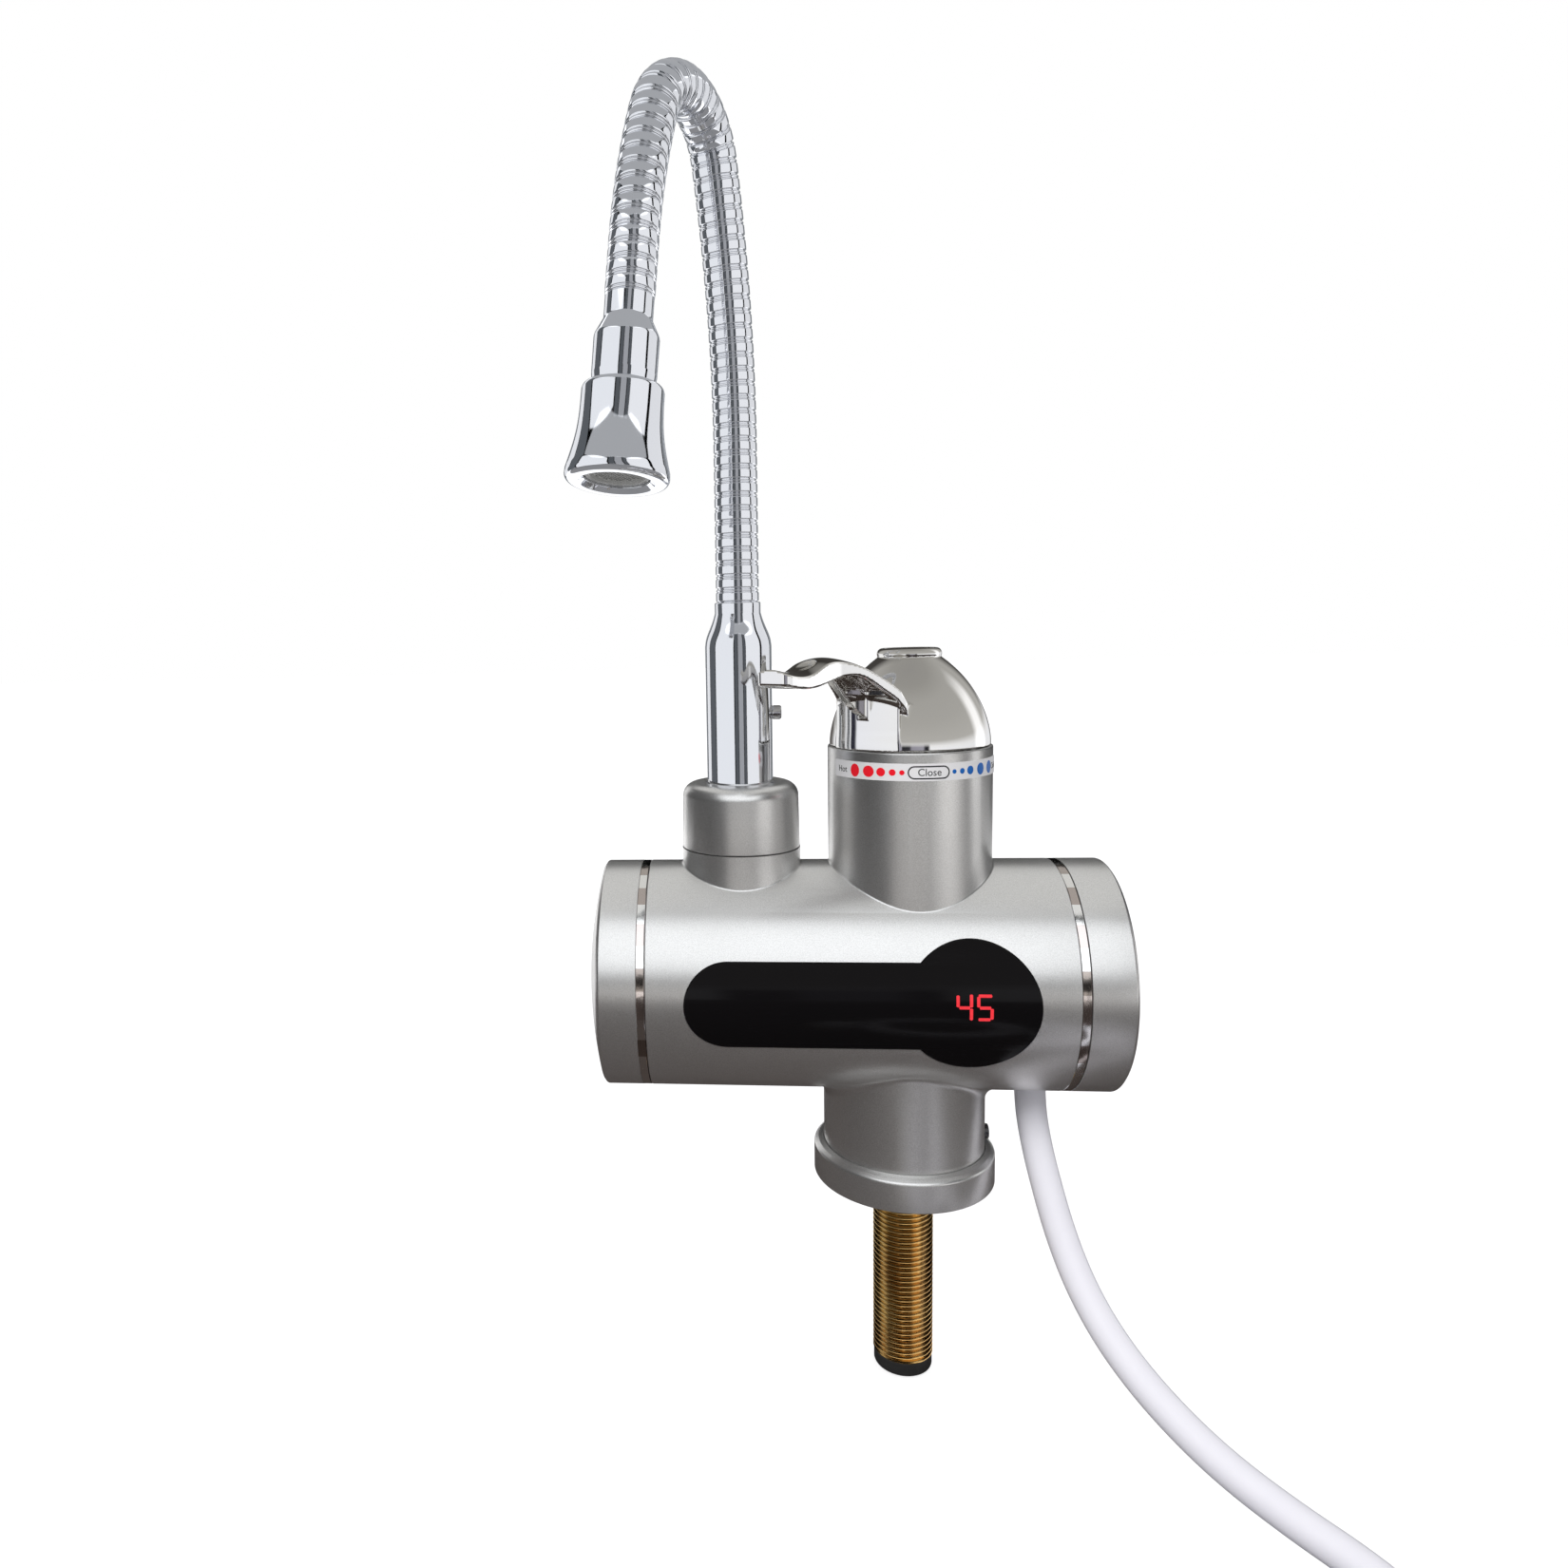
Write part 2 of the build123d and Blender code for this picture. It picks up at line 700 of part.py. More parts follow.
def side_plane():
    """Upright plane along the lever through the turret's axis."""
    out, across = lever_direction()
    return Plane((turret_x, 0, 0), x_dir=tuple(out), z_dir=tuple(out.cross(Vector(0, 0, 1))))


def hood_sector():
    """Upright cylindrical wall under the arm, standing out of the dome; its top stays inside the arm."""
    wedge = Pos(turret_x, 0, dome_bottom) * Rot(0, 0, hood_from - 90)
    wedge = wedge * wedge_prism(60, hood_to - hood_from, 40)
    hood = upright(hood_radius, dome_bottom, 180, turret_x) & wedge
    below = [(row[0], row[3] - 0.4) for row in lever_profile() if row[0] < 45]
    outline = Polyline(*below, (0, 150), (0, 140), (below[0][0], 140), close=True)
    return hood & (side_plane() * extrude(make_face(outline), 40, both=True))


def arm_pocket():
    """Hollow under the arm, either side of its middle rib."""
    out, across = lever_direction()
    plan = Plane((turret_x, 0, 160), x_dir=tuple(out), z_dir=(0, 0, 1))
    start = hood_radius + 0.4
    outline = Polyline((start, -9.6), (38.5, -6.8), (49.0, -5.4), (49.0, 5.4), (38.5, 6.8), (start, 9.6), close=True)
    pocket = plan * extrude(make_face(outline), 40)
    roof = Plane((turret_x, 0, 0), x_dir=tuple(out), z_dir=tuple(out.cross(Vector(0, 0, 1))))
    profile = Polyline((20, 160), (20, 169.0), (start, 173.6), (32, 176.6), (38.5, 179.8), (45, 181.2), (50, 180.2),
                       (52, 160), close=True)
    below = roof * extrude(make_face(profile), 30, both=True)
    rib = roof * extrude(make_face(Polyline((20, 164.5), (start + 1.2, 165.0), (47, 178.4), (50, 190), (20, 190),
                                            close=True)), rib_half, both=True)
    return (pocket & below) - rib, rib


def handle():
    """Chrome handle: hollow dome, hood and lever in one casting, with a socket for the spindle."""
    dome_side = Spline((dome_radius, dome_bottom), (23.58, 167.1), (17.41, 176.8), (dome_top_radius, dome_top - 0.4),
                       tangents=[(0, 1), (-0.86, 0.5)])
    bead = ThreePointArc((dome_top_radius, dome_top - 0.4), (bead_radius, bead_top - 1.7), (9.7, bead_top))
    skirt = turret_inner - turn_gap
    outline = [dome_side, bead,
               Line((9.7, bead_top), (0, bead_top)),
               Line((0, bead_top), (0, dome_bottom - skirt_depth)),
               Line((0, dome_bottom - skirt_depth), (skirt, dome_bottom - skirt_depth)),
               Line((skirt, dome_bottom - skirt_depth), (skirt, dome_bottom)),
               Line((skirt, dome_bottom), (dome_radius, dome_bottom))]
    solid = turned(outline, turret_x)
    solid += hood_sector()
    solid += lever_blade()
    pocket, rib = arm_pocket()
    solid -= pocket
    rib_keep = rib - upright(20, 150, 200, turret_x)
    top_plane = block(-100, 100, -100, 100, 150, 180.5)
    solid += rib_keep & top_plane & lever_reach_box()
    hollow = stepped([(0, 140), (22.0, 140), (22.0, 160), (17.5, 170), (9.5, 177), (0, 177)], turret_x)
    post = upright(8.0, dome_bottom - 1.5, 178, turret_x)
    solid -= hollow - post
    solid -= upright(spindle_radius + 0.05, 140, spindle_top + 0.5, turret_x)
    solid -= upright(2.2, 150, 190, turret_x)
    solid -= upright(4.4, 179.0, 190, turret_x)
    solid -= upright(cap_recess_radius, bead_top - 2.2, 190, turret_x)
    return solid - finger_dimple()


def lever_reach_box():
    """Keeps the rib within the arm's length."""
    out, across = lever_direction()
    plan = Plane((turret_x, 0, 150), x_dir=tuple(out), z_dir=(0, 0, 1))
    return plan * extrude(Pos(35, 0) * Rectangle(28, 8), 40)


def finger_dimple():
    """Shallow thumb dish on top of the paddle."""
    out, across = lever_direction()
    ball = 12.0
    spot = Vector(turret_x, 0, 0) + out * 61.5 + Vector(0, 0, 182.9 + ball - 0.9)
    return Pos(*spot) * Sphere(ball)


def handle_cap():
    """Round button closing the handle's screw hole, a little dished."""
    bottom = bead_top - 2.2
    button = upright(cap_recess_radius - seat_gap, bottom, bead_top - 0.7, turret_x)
    return button - Pos(turret_x, 0, bead_top + 29.0) * Sphere(30.0)


def handle_screw():
    screw = upright(1.65, spindle_top - 9, 179.0, turret_x)
    return screw + upright(4.0, 179.0, 182.6, turret_x)


def spout_collar():
    """Ring nut that keeps the spout's shoulder down on the outlet boss."""
    bottom = boss_top + seam_gap
    bore = tube_radius + running_gap
    ledge = outlet_boss_top + shoulder_height + 2 * 0.1
    thread = outlet_boss_radius + seat_gap
    start = (collar_top_radius, collar_top - collar_round)
    middle = (collar_top_radius - 0.293 * collar_round, collar_top - 0.293 * collar_round)
    end = (collar_top_radius - collar_round, collar_top)
    outline = [Line((thread, bottom), (collar_radius, bottom)),
               Line((collar_radius, bottom), start),
               ThreePointArc(start, middle, end),
               Line(end, (bore + 0.6, collar_top)),
               Line((bore + 0.6, collar_top), (bore, collar_top - 0.6)),
               Line((bore, collar_top - 0.6), (bore, ledge)),
               Line((bore, ledge), (tube_shoulder + 0.3, ledge)),
               Line((tube_shoulder + 0.3, ledge), (tube_shoulder + 0.3, outlet_boss_top)),
               Line((tube_shoulder + 0.3, outlet_boss_top), (thread, outlet_boss_top)),
               Line((thread, outlet_boss_top), (thread, bottom))]
    return turned(outline, riser_x)


def spout_tube():
    """Chromed riser tube: sealed tail, retaining shoulder, straight tube and drawn-in neck."""
    shoulder = outlet_boss_top + 0.1
    grooves = [tail_bottom + 3.0, tail_bottom + 8.0]
    points = [(tube_bore, tail_bottom), (tail_radius, tail_bottom)]
    for bottom in grooves:
        points += [(tail_radius, bottom), (tail_radius - 1.2, bottom),
                   (tail_radius - 1.2, bottom + 1.6), (tail_radius, bottom + 1.6)]
    points += [(tail_radius, shoulder), (tube_shoulder, shoulder), (tube_shoulder, shoulder + shoulder_height),
               (tube_radius, shoulder + shoulder_height), (tube_radius, tube_straight_top)]
    lower = Polyline(*points)
    shoulder_curve = Spline((tube_radius, tube_straight_top), (tube_neck_radius + 1.6, neck_start - 3.2),
                            (tube_neck_radius, neck_start + 1.5), tangents=[(0, 1), (0, 1)])
    upper = Polyline((tube_neck_radius, neck_start + 1.5), (tube_neck_radius, hose_start),
                     (tube_bore, hose_start), (tube_bore, tail_bottom))
    return turned(lower.edges() + [shoulder_curve] + upper.edges(), riser_x)


def spout_seals():
    """Two O-rings in the tail's grooves."""
    rings = []
    for bottom in (tail_bottom + 3.0, tail_bottom + 8.0):
        ring = Pos(riser_x, 0, bottom + 0.8) * Torus(tail_radius - 0.58, 0.6)
        rings.append(ring)
    return Compound(children=rings)


def spout_stud():
    """Small screw head standing out of the riser tube's right side."""
    start = tube_radius - 0.6
    stud = Pos(riser_x, 0, stud_height) * Rot(0, 90, 0)
    shank = stud * Pos(0, 0, start + 1.0) * Cylinder(1.5, 2.0)
    head = stud * Pos(0, 0, tube_radius + 0.2 + (stud_proud - 0.2) / 2) * Cylinder(stud_radius, stud_proud - 0.2)
    return shank + head


def tube_with_stud_hole(tube):
    hole = Pos(riser_x + tube_radius - 0.3, 0, stud_height) * Rot(0, 90, 0) * Cylinder(1.5, 1.4)
    return tube - hole


def hose_point(length):
    """Place and heading of the hose's centre line at a length from its lower end."""
    turn = math.radians(hose_turn)
    out = Vector(-math.sin(turn), -math.cos(turn), 0)
    reach, height, heading = 0.0, hose_start, 0.0
    left = length
    run = min(left, hose_rise)
    height += run
    left -= run
    for radius, target in zip(hose_sweep_radii, hose_headings):
        span = math.radians(target) - heading
        step = min(left / radius, span)
        reach += radius * (math.cos(heading) - math.cos(heading + step))
        height += radius * (math.sin(heading + step) - math.sin(heading))
        heading += step
        left -= step * radius
        if step < span:
            break
    reach += left * math.sin(heading) if left > 0 else 0
    height += left * math.cos(heading) if left > 0 else 0
    place = Vector(riser_x, 0, height) + out * reach
    return place, out * math.sin(heading) + Vector(0, 0, math.cos(heading))


def hose_length():
    total = hose_rise + hose_end_run
    heading = 0.0
    for radius, target in zip(hose_sweep_radii, hose_headings):
        total += radius * (math.radians(target) - heading)
        heading = math.radians(target)
    return total


def hose_plane(length):
    place, heading = hose_point(length)
    turn = math.radians(hose_turn)
    return Plane(tuple(place), x_dir=(math.cos(turn), -math.sin(turn), 0), z_dir=tuple(heading))


def gooseneck_hose():
    """Ribbed metal hose: each rib is a flat band between two shallow grooves, round a clear bore."""
    total = hose_length()
    pitch = total / rib_count
    inner_radius = hose_radius - hose_groove
    outer_sections, bore_sections = [], []
    for rib in range(rib_count):
        start = rib * pitch
        for share, radius in ((0.02, inner_radius), (0.14, hose_radius), (0.86, hose_radius), (0.98, inner_radius)):
            if rib == 0 and share == 0.02:
                share = 0.0
            if rib == rib_count - 1 and share == 0.98:
                share = 1.0
            outer_sections.append(hose_plane(start + share * pitch) * Circle(radius))
        bore_sections.append(hose_plane(start) * Circle(hose_bore))
    bore_sections.append(hose_plane(total) * Circle(hose_bore))
    return loft(outer_sections, ruled=True) - loft(bore_sections, ruled=True)


def outlet_frame():
    """Plane at the hose's end, its Z running down the outlet's own axis."""
    return hose_plane(hose_length())


def on_outlet(edges):
    """A solid of revolution about the outlet's axis, from a closed outline of (radius, distance)."""
    face = Plane.XZ * make_face(Wire(edges).edges())
    return outlet_frame() * revolve(face, Axis.Z)


def outlet_ferrule():
    """Plain ferrule and swollen swivel socket on the hose's end."""
    shoulder = Spline((ferrule_radius, ferrule_length), (socket_radius, ferrule_length + 5.0),
                      tangents=[(0.2, 1), (0, 1)])
    lower = Polyline((socket_radius, ferrule_length + 5.0), (socket_radius - 0.5, socket_end),
                     (6.4, socket_end), (6.4, socket_end - 8), (hose_bore, socket_end - 8), (hose_bore, 0),
                     (ferrule_radius, 0), (ferrule_radius, ferrule_length))
    return on_outlet([shoulder] + lower.edges())


def outlet_bell():
    """Flared outlet head that turns on the socket."""
    stem = 6.4 - running_gap
    outer = Spline((bell_top_radius, bell_start + 1.2), (bell_waist_radius, bell_start + 13),
                   (bell_radius, bell_end - 3.4), tangents=[(0, 1), (0.45, 1)])
    lip = ThreePointArc((bell_radius, bell_end - 3.4), (bell_radius + 0.1, bell_end - 1.6),
                        (bell_radius - 1.6, bell_end))
    start = Polyline((bell_radius - 1.6, bell_end), (aerator_radius + 1.6, bell_end),
                     (aerator_radius + 0.1, bell_end - 1.4), (aerator_radius + 0.1, bell_end - 12),
                     (4.0, bell_end - 12), (4.0, socket_end - 7), (stem, socket_end - 7),
                     (stem, bell_start), (bell_top_radius - 1.0, bell_start), (bell_top_radius, bell_start + 1.2))
    return on_outlet([outer, lip] + start.edges())


def aerator_insert():
    """Perforated outlet insert, pressed up inside the bell."""
    insert = Pos(0, 0, bell_end - 6.2) * Cylinder(aerator_radius, 9.2)
    cavity = Pos(0, 0, bell_end - 8.0) * Cylinder(aerator_radius - 1.6, 6.0)
    insert -= cavity
    for count, ring in ((1, 0.0), (6, 3.0), (12, 6.0)):
        for hole in range(count):
            angle = 2 * math.pi * hole / count
            spot = Pos(ring * math.cos(angle), ring * math.sin(angle), bell_end - 3)
            insert -= spot * Cylinder(0.8, 8)
    return outlet_frame() * insert


def aerator_washer():
    washer = Pos(0, 0, bell_end - 11.4) * (Cylinder(aerator_radius, 1.2) - Cylinder(5.0, 1.2))
    return outlet_frame() * washer


def cord_gland():
    """Moulded strain relief: a flanged sleeve in the barrel's underside that grips the cord."""
    edge = cord_radius + gland_wall
    floor = axis_height - math.sqrt(barrel_inner ** 2 - gland_flange ** 2)
    lower = axis_height - barrel_radius + 0.6
    outline = [(cord_radius, lower), (edge, lower), (edge, floor), (gland_flange, floor), (gland_flange, floor + 2.4),
               (edge, floor + 2.4), (edge, lower + gland_length), (cord_radius, lower + gland_length)]
    sleeve = stepped(outline, cord_x, 0)
    return sleeve


def cord_route():
    """Points of the cord's free stretch, from the gland down to the surface and along to the coil."""
    entry, heading = coil_entry()
    last = entry - heading * (2 * cord_radius)
    before = last - heading * 17.0
    return [(cord_x, 0, 42.0),
            (cord_x, 0, 27.5),
            (cord_x + 1.8, -2.6, 13.0),
            (cord_x + 4.4, -8.4, -1.0),
            (cord_x + 7.2, -15.6, -14.0),
            (cord_x + 10.8, -24.8, -25.5),
            (cord_x + 15.7, -35.2, -35.0),
            (cord_x + 22.2, -46.2, -42.8),
            (cord_x + 30.6, -57.4, -49.8),
            (cord_x + 41.0, -68.6, -56.2),
            (cord_x + 54.0, -80.2, -61.4),
            (cord_x + 67.8, -93.0, -64.8),
            (cord_x + 76.1, -108.6, -66.0),
            (cord_x + 79.2, -125.5, cord_lie),
            tuple(before), tuple(last)]


def coil_entry():
    angle = math.radians(coil_start_angle)
    place = Vector(coil_centre[0] + coil_outer * math.cos(angle), coil_centre[1] + coil_outer * math.sin(angle), cord_lie)
    return place, Vector(math.sin(angle), -math.cos(angle), 0)


def fillet_radii(points, share=0.45):
    """A bend radius for each inner point, as large as the two runs beside it allow."""
    radii = []
    for i in range(1, len(points) - 1):
        before = Vector(*points[i]) - Vector(*points[i - 1])
        after = Vector(*points[i + 1]) - Vector(*points[i])
        half_turn = math.radians(before.get_angle(after)) / 2
        radii.append(share * min(before.length, after.length) / math.tan(half_turn))
    return radii


def mains_cord():
    points = cord_route()
    radii = fillet_radii(points)
    print("cord radii", [round(r, 1) for r in radii])
    runs = [(Vector(*b) - Vector(*a)).length for a, b in zip(points, points[1:])]
    print("cord runs", [round(r, 1) for r in runs])
    path = FilletPolyline(*points, radius=radii)
    start = Vector(*points[1]) - Vector(*points[0])
    section = Plane(points[0], z_dir=tuple(start)) * Circle(cord_radius)
    cord = sweep(section, path)
    length = path.length
    print("cord free length", round(length, 1), "volume ratio", cord.volume / (math.pi * cord_radius ** 2 * length))
    return cord


def coil_place(turns):
    """Centre line of the coil after a number of turns: it spirals in, climbs a layer and spirals out."""
    angle = math.radians(coil_start_angle) - 2 * math.pi * turns
    radius = coil_outer - coil_pitch * (coil_turns_in - abs(turns - coil_turns_in))
    climbed = (turns - coil_turns_in) / coil_climb_turns + 0.5
    climb_share = min(1.0, max(0.0, climbed))
    height = cord_lie + coil_pitch * (0.5 - 0.5 * math.cos(math.pi * climb_share))
    return Vector(coil_centre[0] + radius * math.cos(angle), coil_centre[1] + radius * math.sin(angle), height)


def coil_heading(turns):
    step = 0.0005
    return (coil_place(turns + step) - coil_place(turns - step)).normalized()


def coil_turns():
    return 2 * coil_turns_in


def coil_stations():
    """The turn counts where arcs join: sevenths of each flat spiral, and quarter turns in the climb."""
    flat = coil_turns_in - coil_climb_turns / 2
    down = [flat * i / 7 for i in range(8)]
    up = [coil_turns_in + coil_climb_turns / 2 + flat * i / 7 for i in range(8)]
    return down + [coil_turns_in] + up


def coil_tail():
    """Where the plug's cord entry is, past the coil's end."""
    end = coil_place(coil_turns())
    heading = coil_heading(coil_turns() - 0.001)
    heading = Vector(heading.X, heading.Y, 0).normalized()
    return end + heading * coil_tail_length, heading


def cord_coil():
    """The put-away length: one unbroken tube, in two layers, with straight ends."""
    entry, heading = coil_entry()
    start = entry - heading * (2 * cord_radius)
    places = coil_stations()
    points = [tuple(coil_place(t)) for t in places]
    tangents = [tuple(coil_heading(t)) for t in places]
    tangents[0] = tuple(heading)
    tail, tail_heading = coil_tail()
    tangents[-1] = tuple(tail_heading)
    edges = [Line(tuple(start), points[0])] + quarter_arcs(points, tangents) + [Line(points[-1], tuple(tail))]
    path = Wire(edges)
    section = Plane(tuple(start), z_dir=tuple(heading)) * Circle(cord_radius)
    coil = sweep(section, path)
    print("coil length", round(path.length, 1), "volume ratio",
          coil.volume / (math.pi * cord_radius ** 2 * path.length), "least gap", round(least_gap(path), 2))
    return coil


def least_gap(path):
    """Least clear distance of the coil's tube to itself, measured on points a millimetre or two apart."""
    count = int(path.length / 2)
    spacing = path.length / count
    places = [path.position_at(i / count) for i in range(count + 1)]
    apart = int(6 * cord_radius / spacing)
    least = 1e9
    for i in range(len(places)):
        for j in range(i + apart, len(places)):
            least = min(least, (places[i] - places[j]).length)
    return least - 2 * cord_radius


def cord_tie():
    """Strap drawn round all the turns at one place on the coil."""
    shift = (coil_start_angle - tie_angle) / 360
    outward = Vector(math.cos(math.radians(tie_angle)), math.sin(math.radians(tie_angle)), 0)
    strands = math.ceil(coil_turns() - shift)
    spots = [coil_place(shift + turn) for turn in range(strands)]
    middle = Vector(*coil_centre, 0)
    plane = Plane(tuple(middle), x_dir=tuple(outward), z_dir=tuple(outward.cross(Vector(0, 0, 1))))
    rings = []
    for radius in (cord_radius + tie_gap + tie_thickness, cord_radius + tie_gap):
        circles = [Pos((spot - middle).dot(outward), spot.Z) * Circle(radius) for spot in spots]
        edges = [edge for circle in circles for edge in circle.edges()]
        rings.append(extrude(plane * make_hull(edges), tie_width / 2, both=True))
    return rings[0] - rings[1]


def plug_place():
    tail, heading = coil_tail()
    return Plane(tuple(tail), x_dir=(0, 0, 1), z_dir=tuple(heading))


def plug_body():
    """Rewirable round plug: tapered cord entry and a grip body."""
    outline = [(0, 0), (cord_radius + 1.2, 0), (cord_radius + 3.0, 9), (10.5, 13), (plug_radius, 19),
               (plug_radius, plug_length - 3), (plug_radius - 1.2, plug_length), (0, plug_length)]
    face = Plane.XZ * make_face(Polyline(*outline, close=True))
    return plug_place() * revolve(face, Axis.Z)


def plug_pins():
    pins = []
    for side in (-1, 1):
        pin = Pos(0, 9.5 * side, plug_length + 9.0) * Cylinder(2.4, 18.0)
        pins.append(plug_place() * pin)
    return Compound(children=pins)


def main():
    os.makedirs("parts", exist_ok=True)
    save(barrel_shell(), "barrel_shell")
    save(left_end_cap(), "left_end_cap")
    save(right_end_cap(), "right_end_cap")
    save(trim_ring(shell_left - trim_width), "left_trim_ring")
    save(trim_ring(shell_right), "right_trim_ring")
    save(display_lens(), "display_lens")
    save(display_board(), "display_board")
    save(digit_display(), "digit_display")
    save(base_flange(), "base_flange")
    save(base_gasket(), "base_gasket")
    save(inlet_shank(), "inlet_shank")
    save(shank_end_seal(), "shank_end_seal")
    save(neck_screw(), "neck_screw")
    save(outlet_with_probe_hole(water_body()), "water_body")
    save(chamber_cover(), "chamber_cover")
    save(chamber_seal(), "chamber_seal")
    save(heating_element(), "heating_element")
    save(element_terminals(), "element_terminals")
    save(power_board(), "power_board")
    save(power_relay(), "power_relay")
    save(thermal_cutout(), "thermal_cutout")
    save(temperature_probe(), "temperature_probe")
    save(diaphragm(), "flow_diaphragm")
    save(switch_cover(), "flow_switch_cover")
    save(push_pin(), "flow_push_pin")
    save(return_spring(), "flow_return_spring")
    save(microswitch(), "microswitch")
    save(terminal_block(), "terminal_block")
    save(terminal_screws(), "terminal_screws")
    save(scale_band(), "scale_band")
    save(cartridge_body(), "cartridge_body")
    save(cartridge_seals(), "cartridge_seals")
    save(fixed_disc(), "ceramic_disc_fixed")
    save(turning_disc(), "ceramic_disc_turning")
    save(spindle(), "spindle")
    save(cartridge_nut(), "cartridge_nut")
    save(handle(), "handle")
    save(handle_cap(), "handle_cap")
    save(handle_screw(), "handle_screw")
    save(spout_collar(), "spout_collar")
    save(tube_with_stud_hole(spout_tube()), "spout_tube")
    save(spout_seals(), "spout_seals")
    save(spout_stud(), "spout_stud")
    save(gooseneck_hose(), "gooseneck_hose")
    save(outlet_ferrule(), "outlet_ferrule")
    save(outlet_bell(), "outlet_bell")
    save(aerator_insert(), "aerator_insert")
    save(aerator_washer(), "aerator_washer")
    save(cord_gland(), "cord_gland")
    save(mains_cord(), "mains_cord")
    save(cord_coil(), "cord_coil")
    save(cord_tie(), "cord_tie")
    save(plug_body(), "plug_body")
    save(plug_pins(), "plug_pins")


if __name__ == "__main__":
    main()
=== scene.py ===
import json
import math

import bmesh
import bpy
import numpy as np
import openvdb
from mathutils import Matrix, Vector

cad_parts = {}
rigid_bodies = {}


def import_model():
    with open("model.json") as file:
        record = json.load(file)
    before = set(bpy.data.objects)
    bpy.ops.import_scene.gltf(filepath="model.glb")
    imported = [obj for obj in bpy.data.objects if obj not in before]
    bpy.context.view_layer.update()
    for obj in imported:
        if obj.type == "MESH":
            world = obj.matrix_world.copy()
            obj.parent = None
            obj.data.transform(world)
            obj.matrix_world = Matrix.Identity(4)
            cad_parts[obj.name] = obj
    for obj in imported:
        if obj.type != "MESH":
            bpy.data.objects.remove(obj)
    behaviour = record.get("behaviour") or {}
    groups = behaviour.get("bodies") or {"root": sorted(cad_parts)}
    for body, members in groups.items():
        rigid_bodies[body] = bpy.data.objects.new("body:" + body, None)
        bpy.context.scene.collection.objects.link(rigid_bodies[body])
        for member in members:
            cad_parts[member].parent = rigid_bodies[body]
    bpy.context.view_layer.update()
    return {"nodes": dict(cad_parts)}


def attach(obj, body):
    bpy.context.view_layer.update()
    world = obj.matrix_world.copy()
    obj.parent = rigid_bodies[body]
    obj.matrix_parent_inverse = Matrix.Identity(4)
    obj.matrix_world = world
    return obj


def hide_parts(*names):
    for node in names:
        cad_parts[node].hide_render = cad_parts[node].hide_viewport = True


# Looks of the instant water heater tap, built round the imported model. Sizes are in millimetres here and
# become metres as each mesh is made; the origin is under the base flange, Z up, the front towards -Y.

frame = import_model()
MM = 0.001

barrel_radius = 39.4
axis_height = 73.2
barrel_wall = 2.6
shell_left, shell_right, foil_width = -87.7, 49.3, 3.0
cap_left, cap_right = -103.65, 66.3
turret_x, turret_radius, turret_top = 1.8, 27.4, 153.3
riser_x = -55.8
cord_x = 43.2
tail_radius, tail_bore, tail_end = 10.478, 6.5, -68.0
neck_screw_height, riser_screw_height = 15.2, 165.1
floor_height = -73.1


# Camera

def look_through():
    """The photograph's camera: its place, turn, lens and shift."""
    right = Vector((0.99342541, 0.11093961, -0.02825537))
    up = Vector((0.01509367, 0.11773243, 0.99293064))
    forward = Vector((-0.11348191, 0.986829, -0.1152839))
    camera = linked("camera", bpy.data.cameras.new("camera"))
    turn = Matrix((right, up, -forward)).transposed().to_4x4()
    camera.matrix_world = Matrix.Translation(Vector((-55.46, -394.14, 197.62)) * MM) @ turn
    camera.data.sensor_width = 36.0
    camera.data.sensor_fit = "HORIZONTAL"
    camera.data.lens = 25.983
    camera.data.shift_x = 0.1100
    camera.data.shift_y = -0.01936
    camera.data.clip_start = 0.01
    camera.data.clip_end = 30.0
    bpy.context.scene.camera = camera


# Finishes

def operator(operation, number_first=False):
    """A method that adds a Math node for an Amount and a number or another Amount."""
    def method(self, other):
        return self.graph.maths(operation, *((other, self) if number_first else (self, other)))
    return method


class Amount:
    """A node's output; its operators add Math nodes."""

    def __init__(self, graph, socket):
        self.graph, self.socket = graph, socket

    __add__, __radd__ = operator("ADD"), operator("ADD", True)
    __sub__, __rsub__ = operator("SUBTRACT"), operator("SUBTRACT", True)
    __mul__, __rmul__ = operator("MULTIPLY"), operator("MULTIPLY", True)
    __truediv__, __pow__, __gt__ = operator("DIVIDE"), operator("POWER"), operator("GREATER_THAN")


class Graph:
    """A node tree that nodes are added to."""

    def __init__(self, tree):
        self.tree = tree

    def node(self, kind, inputs=None, output=0, **settings):
        """Adds a node of a type, with its settings and then its sockets' values or links."""
        added = self.tree.nodes.new(kind)
        for key, value in settings.items():
            setattr(added, key, value)
        for key, value in (inputs or {}).items():
            self.put(added.inputs[key], value)
        return Amount(self, added.outputs[output])

    def put(self, socket, value):
        if isinstance(value, Amount):
            self.tree.links.new(value.socket, socket)
        elif socket.type == "RGBA" and len(value) == 3:
            socket.default_value = (*value, 1.0)
        else:
            socket.default_value = value

    def maths(self, operation, *values):
        return self.node("ShaderNodeMath", dict(enumerate(values)), operation=operation)

    def mix(self, share, first, second, blend="MIX"):
        """A colour made of two, by a share."""
        return self.node("ShaderNodeMix", {0: share, 6: first, 7: second}, 2, data_type="RGBA",
                         blend_type=blend)

    def split(self, vector):
        """The X, Y and Z of a vector."""
        parts = self.node("ShaderNodeSeparateXYZ", {0: vector}).socket.node.outputs
        return [Amount(self, socket) for socket in parts]

    def seen(self):
        """1 for rays from the camera, off a shiny surface or through glass, and 0 for the others."""
        rays = self.node("ShaderNodeLightPath").socket.node.outputs
        camera, glossy, through = (Amount(self, rays[f"Is {way} Ray"])
                                   for way in ("Camera", "Glossy", "Transmission"))
        return self.maths("MAXIMUM", camera, self.maths("MAXIMUM", glossy, through))


